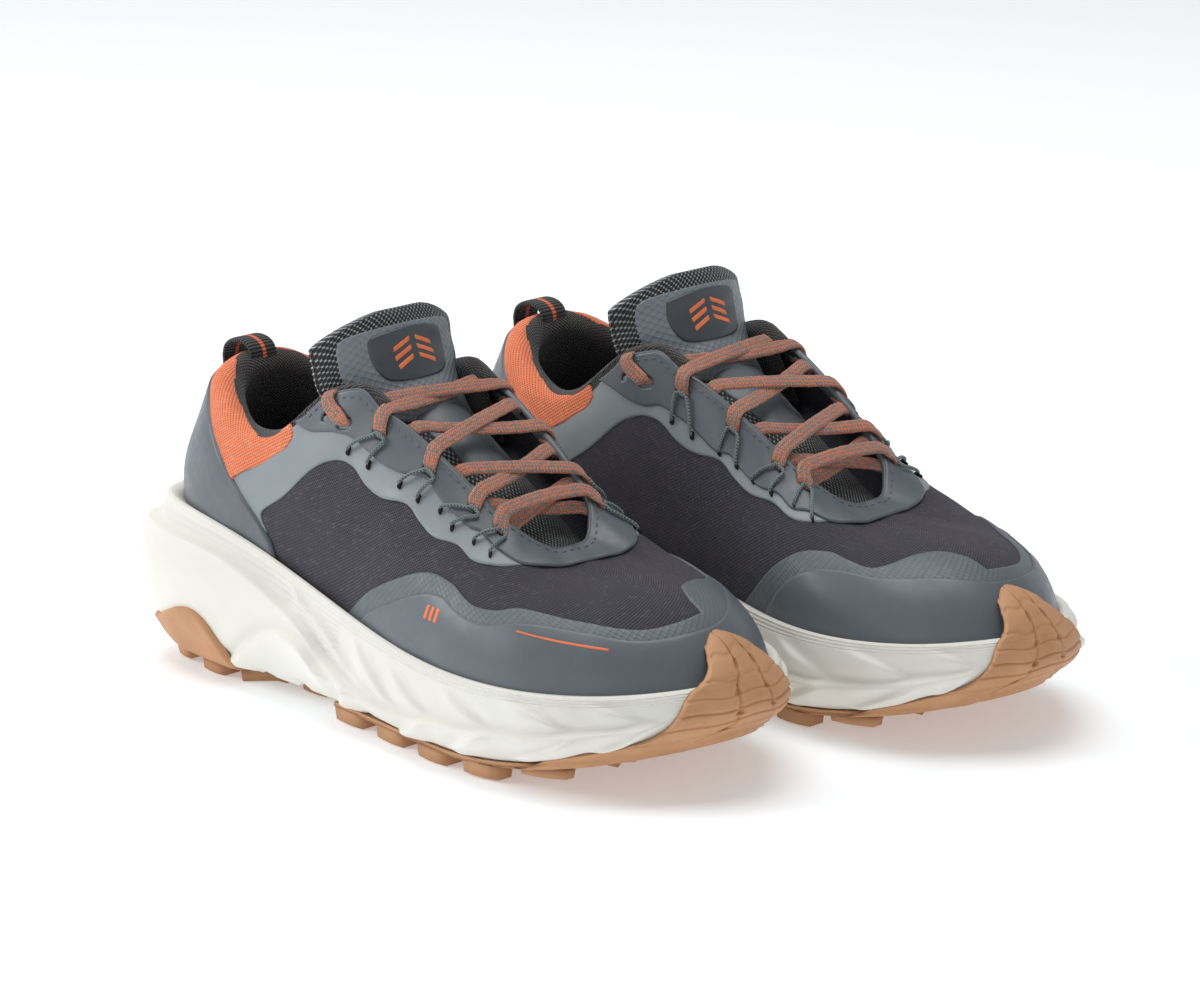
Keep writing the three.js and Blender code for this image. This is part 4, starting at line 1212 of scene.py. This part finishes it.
def throat(u):
    s = np.abs(u - 0.5)
    corner = smooth(0.238, 0.262, s) * (1 - smooth(0.285, 0.308, s))
    return 1.0 - 0.045 * (1 - smooth(0.02, 0.08, s)) + 0.075 * corner


def stay_low(u):
    s = np.abs(u - 0.5)
    return 0.76 + 0.1 * smooth(0.28, 0.34, s)


def slot_at(k, medial):
    u = STAY_FROM + (SLOT_CELLS[k] + 0.5) / STAY_CELLS * (1 - 2 * STAY_FROM)
    return 1 - u if medial else u


def slot_height(u):
    low = stay_low(u)
    return low + (1 - low) * 0.605


def round_hole(u, v, wide, tall, n=20):
    a = np.arange(n) * 2 * np.pi / n
    c, s = np.cos(a), np.sin(a)
    x = np.sign(c) * np.abs(c) ** 0.7 * wide / 2
    y = np.sign(s) * np.abs(s) ** 0.7 * tall / 2
    return np.stack([u * SU + x, v * SV + y], -1)


throat_run = [(u * SU, float(throat(u)) * SV) for u in np.linspace(0.8085, 0.187, 120)]
places = [slot_at(k, medial) for k in range(5) for medial in (False, True)]
slots = [round_hole(u, slot_height(u), 7.4, 3.0) for u in places]
slots += [round_hole(u, 0.955, 2.6, 2.4) for u in (0.2145, 0.7855)]
stay_loop = outline(scaled(STAY_LOW), throat_run)
sheet = cut_sheet([stay_loop, *slots], on_upper, 1.7, 2.6, soft=0.6, flat=upper_flat)
put("eyestay", sheet, LOOKS["stay_film"], ["eyestay"])
us = np.linspace(0.2, 0.7955, 500)
vs = throat(us) - 0.038
sheet = stitches(skin(us, vs, 2.6 + ripple(us, vs)), normal(us, vs))
put("throat_stitches", sheet, LOOKS["thread"], [])
us = np.linspace(0.196, 0.8, 400)
edge, out = skin(us, throat(us), 1.2)[::4], normal(us, throat(us))[::4]
sheet = tube(edge, out, 2.6, 1.3, around=10, step=1.5)
put("throat_binding", sheet, LOOKS["stay_film"], [])

# ---- cord loops and the holes they come out of ----
LOOP_FEET = {
    "lateral": [(0.2415, 0.775, 0.2615, 0.745), (0.29, 0.75, 0.308, 0.75),
                (0.328, 0.775, 0.342, 0.735), (0.363, 0.742, 0.3795, 0.725)],
    "medial": [(0.258, 0.74, 0.2755, 0.72), (0.2995, 0.735, 0.3155, 0.735),
               (0.331, 0.72, 0.3485, 0.72), (0.3705, 0.73, 0.3875, 0.7)],
}
holes = []
for label, feet in LOOP_FEET.items():
    for k, (ua, va, ub, vb) in enumerate(feet, 1):
        u0 = slot_at(k, False)
        v0 = float(slot_height(u0)) - 0.008
        turn = (lambda u: 1 - u) if label == "medial" else (lambda u: u)
        steps = [
            (ua, va, 1.4),
            (ua + 0.0004, va + 0.012, 3.2),
            ((ua * 0.55 + (u0 - 0.004) * 0.45), va + (v0 - va) * 0.5, 3.7),
            (u0 - 0.0045, v0 - 0.02, 3.7),
            (u0 - 0.0015, v0, 3.75),
            (u0 + 0.003, v0, 3.75),
            (u0 + 0.006, v0 - 0.02, 3.7),
            ((ub * 0.55 + (u0 + 0.006) * 0.45), vb + (v0 - vb) * 0.5, 3.7),
            (ub - 0.0004, vb + 0.012, 3.2),
            (ub, vb, 1.4),
        ]
        if label == "medial":
            steps = [(1 - u, v, o) for u, v, o in steps]
        path = [skin(u, v, o) for u, v, o in steps]
        side = [normal(u, v) for u, v, o in steps]
        sheet = tube(path, side, 1.3, 1.3, around=12, step=0.5)
        node = f"lace_loop_{label}_{k}"
        put(node, sheet, LOOKS["grey_cord"], [node])
        holes += [(turn(ua), va), (turn(ub), vb)]
parts = []
for u, v in holes:
    parts.append(cut_sheet([round_hole(u, v, 2.0, 2.6, 16)], on_upper, 1.4, 2.78, 1.2, 0.3, flat=upper_flat))
sheet = join(parts)
put("loop_holes", sheet, LOOKS["dark_pit"], [])


# ---- tongue ----
HINGE = tongue_x(115.5)
KEEPER = tongue_x(144)


def tongue_body():
    def at(s, f, side):
        t = 1 - 2 * f
        edge = np.abs(t)
        s = s - 0.085 * smooth(0.6, 1.0, s) * edge**2.4
        side_roll = np.sqrt(np.clip(1 - np.clip((edge - 0.86) / 0.14, 0, 1) ** 2, 0, 1))
        roll = side_roll * np.sqrt(np.clip(1 - np.clip((s - 0.965) / 0.04, 0, 1) ** 2, 0, 1))
        half = (1.0 + 1.3 * (1 - 0.4 * edge**2) + 0.6 * smooth(0.8, 0.95, s)) * (0.25 + 0.75 * roll)
        middle = -2.3 - 1.0 * edge**4
        wave = 0.25 * np.sin(s * 70 + 3 * t) * np.sin(t * 5)
        return tongue_at(s, t, middle + np.where(side, half + wave, -half))

    ss = np.concatenate([np.linspace(0.0, 0.94, 114), np.linspace(0.95, 1.005, 16)])
    fs = np.concatenate([np.linspace(0, 0.1, 10), np.linspace(0.12, 0.88, 50), np.linspace(0.9, 1, 10)])
    return shell(at, ss, fs, flat=lambda s, f: np.stack([s * 125.7, f * 56], -1))


def hinge_point(side, s):
    return Vector(to_row(tongue_line(s), side))


def put_tongue(name, sheet, look, nodes):
    objs = put(name, sheet, LOOKS[look], nodes, seat=False)
    for side, obj in objs.items():
        near, far = hinge_point(side, HINGE - 0.07), hinge_point(side, HINGE + 0.07)
        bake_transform(obj)


def on_tongue(plane, offset):
    s, y = plane[:, 0] / 125.7, plane[:, 1]
    t = -y / 26
    wave = 0.25 * np.sin(s * 70 + 3 * t) * np.sin(t * 5)
    edge = np.abs(t)
    top = -2.3 - 1.0 * edge**4 + (1.0 + 1.3 * (1 - 0.4 * edge**2) + 0.6 * smooth(0.8, 0.95, s)) + wave
    return tongue_at(s, t, top + offset)


def ms(points):
    return [(s * 125.7, -t * 26) for s, t in points]


put_tongue("tongue", tongue_body(), "tongue_mesh", ["tongue_base", "tongue_top"])
SHIELD = [
    (0.66, 0.58), (0.72, 0.72), (0.8, 0.8), (0.87, 0.82), (0.925, 0.78), (0.94, 0.6), (0.946, 0.3),
    (0.948, 0.0), (0.946, -0.3), (0.94, -0.6), (0.925, -0.78), (0.87, -0.82), (0.8, -0.8), (0.72, -0.72),
    (0.66, -0.58), (0.62, -0.35), (0.612, 0.0), (0.62, 0.35), (0.66, 0.58),
]
shield = cut_sheet([outline(ms(SHIELD))], on_tongue, -0.3, 0.45, 1.8, 0.5)
put_tongue("tongue_film", shield, "side_film", [])
BADGE = [
    (0.915, 0.5), (0.928, 0.3), (0.933, 0.0), (0.928, -0.3), (0.915, -0.5), (0.86, -0.52), (0.79, -0.46),
    (0.765, -0.3), (0.756, 0.0), (0.765, 0.3), (0.79, 0.46), (0.86, 0.52), (0.915, 0.5),
]
badge = cut_sheet([outline(ms(BADGE))], on_tongue, 0.3, 1.25, 1.5, 0.8)
put_tongue("tongue_badge", badge, "badge_film", ["tongue_badge"])
bars = []
for k in range(3):
    s0 = 0.885 - k * 0.03
    for sign in (-1, 1):
        outer, inner = sign * 0.27, sign * 0.04
        bar = [(s0, inner), (s0 - 0.028, outer), (s0 - 0.012, outer), (s0 + 0.016, inner)]
        loop = outline(*[ms([bar[j], bar[(j + 1) % 4]]) for j in range(4)], step=0.8)
        bars.append(cut_sheet([loop], on_tongue, 1.1, 1.42, 1.2, 0.25))
put_tongue("tongue_sign", join(bars), "sign", [])


# The lace keeper is a low strip of film down the middle of the tongue.
STRIP = [
    (KEEPER - 0.08, 0.3), (KEEPER - 0.085, 0.0), (KEEPER - 0.08, -0.3), (KEEPER, -0.36), (0.6, -0.44),
    (0.65, -0.42), (0.652, 0.0), (0.65, 0.42), (0.6, 0.44), (KEEPER, 0.36), (KEEPER - 0.08, 0.3),
]
sheet = cut_sheet([outline(ms(STRIP))], on_tongue, -0.4, 0.55, 1.8, 0.5)
put("lace_keeper", sheet, LOOKS["dark_film"], ["lace_keeper"])


# ---- lace ----
def lace_route():
    over, under = 3.75, -0.1
    path = []

    def on_skin(u, v, offset):
        d = unit(upper_at(u + 0.004, 1) - upper_at(u - 0.004, 1))
        path.append((skin(u, v, offset), -d if u > 0.5 else d))

    def through_slot(k, medial, up=False, toward=None):
        """Into a slot from outside; toward is the middle of the strand, which crosses the edge straight."""
        u = slot_at(k, medial)
        v = float(slot_height(u))
        edge_u = u
        if toward is not None:
            end = skin(u, v, over)
            options = u + np.linspace(-0.035, 0.035, 141)
            at_edge = skin(options, 1.0, over)
            way = unit(np.array([toward[0] - end[0], toward[1] - end[1]]))
            gone = at_edge[:, :2] - end[:2]
            edge_u = float(options[np.argmin(np.abs(gone[:, 0] * way[1] - gone[:, 1] * way[0]))])
        steps = [
            (edge_u, 1.01, over + 0.2),
            (u * 0.6 + edge_u * 0.4, v + 0.045, over),
            (u, v + 0.005, over),
            (u, v - 0.012, over - 1.4),
            (u, v, under + 0.8),
            (u, v + 0.024, under),
        ]
        for w, h, offset in steps[::-1] if up else steps:
            on_skin(w, h, offset)

    def edge_at(k, medial):
        return 1 - EDGE_U[k] if medial else EDGE_U[k]

    def under_edge(k, medial, out=False):
        for v in (1.03, 0.99) if out else (0.99, 1.03):
            on_skin(edge_at(k, medial), v, under)

    def across(lift):
        path.append(lift)

    def tail(medial):
        steps = ((0.97, -1.6), (1.04, -1.5), (1.1, 0.9), (1.085, over), (1.03, over))
        return [(0.784 if medial else 0.216, v, offset) for v, offset in steps]

    def middle(ua, ub):
        return (upper_at(ua, 1) * [1, 0, 1] + upper_at(ub, 1) * [1, 0, 1]) / 2

    def down(k, medial, lift):
        under_edge(k, medial)
        across(lift)
        through_slot(k + 1, not medial, toward=middle(edge_at(k, medial), slot_at(k + 1, not medial)))

    def back(k, medial, lift):
        through_slot(k, medial, True, toward=middle(slot_at(k, medial), edge_at(k - 1, not medial)))
        across(lift)
        under_edge(k - 1, not medial, True)

    for step in tail(False):
        on_skin(*step)
    through_slot(0, False)
    del path[5:7]
    down(0, False, 0.8)
    down(1, True, 0.8)
    down(2, False, 0.8)
    under_edge(3, True)
    across(0.5)
    under_edge(4, False, True)
    through_slot(4, False, True)
    across(1.6)
    through_slot(4, True)
    under_edge(4, True)
    across(-1.2)
    under_edge(3, False, True)
    back(3, False, -1.2)
    back(2, True, -1.2)
    back(1, False, -1.2)
    through_slot(0, True, True)
    del path[-2:]
    for step in tail(True)[::-1]:
        on_skin(*step)
    return taut(path)


def taut(path):
    """Fills each strand over the tongue: straight, bowed up or down so that strands pass each other."""
    full = []
    for k, step in enumerate(path):
        if isinstance(step, tuple):
            full.append(step)
            continue
        start, end = path[k - 1][0], path[k + 1][0]
        for f in (0.2, 0.4, 0.6, 0.8):
            p = start + (end - start) * f
            s = tongue_x(p[0])
            reach = abs(float(tongue_at(s, 1.0, 0)[1]))
            floor_z = tongue_at(s, np.clip(p[1] / reach, -1, 1), 1.7)[2]
            p[2] = max(p[2] + step * math.sin(math.pi * f), floor_z)
            full.append((p, -unit(tongue_line(s + 0.01) - tongue_line(s - 0.01))))
    return full


route = lace_route()
places, ways = [p for p, _ in route], [d for _, d in route]
sheet = tube(places, ways, 5.6, 1.7, around=16, step=0.8, power=2.6, wobble=0.04, ease=2.4)
put("lace", sheet, LOOKS["lace_braid"], ["lace"])


# ---- pull loop ----
def pull_loop():
    y = np.array([0.0, 1.0, 0.0])
    top = skin(0, 1, 0)
    path = [skin(0, v, 3.0 + out) for v, out in ((0.5, 0.4), (0.62, 0.8), (0.74, 1.1), (0.86, 3.9))]
    turns = ((-9.2, -3.0), (-7.8, 0.8), (-3.5, 3.3), (2.2, 3.1), (5.8, 0.6), (6.4, -4.0))
    path += [top + [x, 0, z] for x, z in turns]
    return tube(path, [y] * len(path), 12, 1.6, around=24, step=0.7, power=6.0)


sheet = pull_loop()
put("pull_loop", sheet, LOOKS["webbing"], ["pull_loop"])

# ---- plain printed marks on the toe guard ----
marks = []
for k in range(3):
    u0, v0 = 0.3325 + 0.0042 * k, 0.235
    bar = [(u0, v0), (u0 + 0.0025, v0), (u0 + 0.0065, v0 + 0.075), (u0 + 0.004, v0 + 0.075)]
    loop = outline(*[scaled([bar[j], bar[(j + 1) % 4]]) for j in range(4)], step=0.7)
    marks.append(cut_sheet([loop], on_upper, 2.4, 2.72, 1.0, 0.2))
line = [(0.4015, 0.285), (0.425, 0.235), (0.448, 0.175), (0.4485, 0.187), (0.4255, 0.247), (0.402, 0.297)]
runs = (line[:3], [line[2], line[3]], line[3:], [line[5], line[0]])
loop = outline(*(scaled(run) for run in runs), step=0.8)
marks.append(cut_sheet([loop], on_upper, 2.4, 2.7, 1.0, 0.2))
sheet = join(marks)
put("guard_print", sheet, LOOKS["sign"], [])


# ---- camera, floor and light ----
scene = bpy.context.scene
scene.view_settings.view_transform = "Standard"
target = Vector((-0.02585, 0.0187, 0.060))
a, e = math.radians(46.0), math.radians(15.45)
back = Vector((math.sin(a) * math.cos(e), -math.cos(a) * math.cos(e), math.sin(e)))
camera_data = bpy.data.cameras.new("camera")
camera_data.lens = 172.14
camera_data.sensor_width = 36
camera_data.clip_end = 50
camera = bpy.data.objects.new("camera", camera_data)
camera.location = target + back * 2.093
camera.rotation_euler = back.to_track_quat("Z", "Y").to_euler()
scene.collection.objects.link(camera)
scene.camera = camera

floor_mesh = bpy.data.meshes.new("floor")
FLOOR_Z = -0.0002
AROUND_FLOOR = 96
floor_points = [(0.0, 0.0, FLOOR_Z)]
for radius in [6.0 + 0.5 * k for k in range(13)]:
    height = FLOOR_Z + 0.16 * max(radius - 6.0, 0) ** 2
    for a in np.linspace(0, 2 * math.pi, AROUND_FLOOR + 1)[:-1]:
        floor_points.append((radius * math.cos(a), radius * math.sin(a), height))
floor_faces = [(0, 1 + k, 1 + (k + 1) % AROUND_FLOOR) for k in range(AROUND_FLOOR)]
for ring in range(12):
    inner = 1 + AROUND_FLOOR * ring
    outer = inner + AROUND_FLOOR
    for k in range(AROUND_FLOOR):
        q = (k + 1) % AROUND_FLOOR
        floor_faces.append((inner + k, outer + k, outer + q, inner + q))
floor_mesh.from_pydata(floor_points, [], floor_faces)
floor_mesh.shade_smooth()
floor = bpy.data.objects.new("floor", floor_mesh)
scene.collection.objects.link(floor)
floor_look = Look("floor", 0.9)
floor_look.shader.inputs["Emission Color"].default_value = (1, 1, 1, 1)
floor_look.shader.inputs["Emission Strength"].default_value = 0.3
floor_mesh.materials.append(floor_look.done((0.84, 0.88, 0.91, 1)))


def softbox(name, place, size, power):
    """A rectangular lamp that looks at the middle of the pair."""
    data = bpy.data.lights.new(name, "AREA")
    data.shape = "RECTANGLE"
    data.size, data.size_y = size
    data.energy = power
    lamp = bpy.data.objects.new(name, data)
    lamp.location = place
    lamp.rotation_euler = (Vector(place) - Vector((0, 0, 0.05))).to_track_quat("Z", "Y").to_euler()
    scene.collection.objects.link(lamp)


softbox("overhead", (-0.2, 0.1, 1.7), (1.5, 1.5), 21)
softbox("key", (-1.5, -1.35, 1.1), (1.1, 0.9), 22)
softbox("fill", (1.2, -1.6, 0.6), (1.0, 0.9), 0.8)
world = bpy.data.worlds.new("studio")
world.use_nodes = True
world.node_tree.nodes["Background"].inputs[0].default_value = (1, 1, 1, 1)
world.node_tree.nodes["Background"].inputs[1].default_value = 0.2
scene.world = world
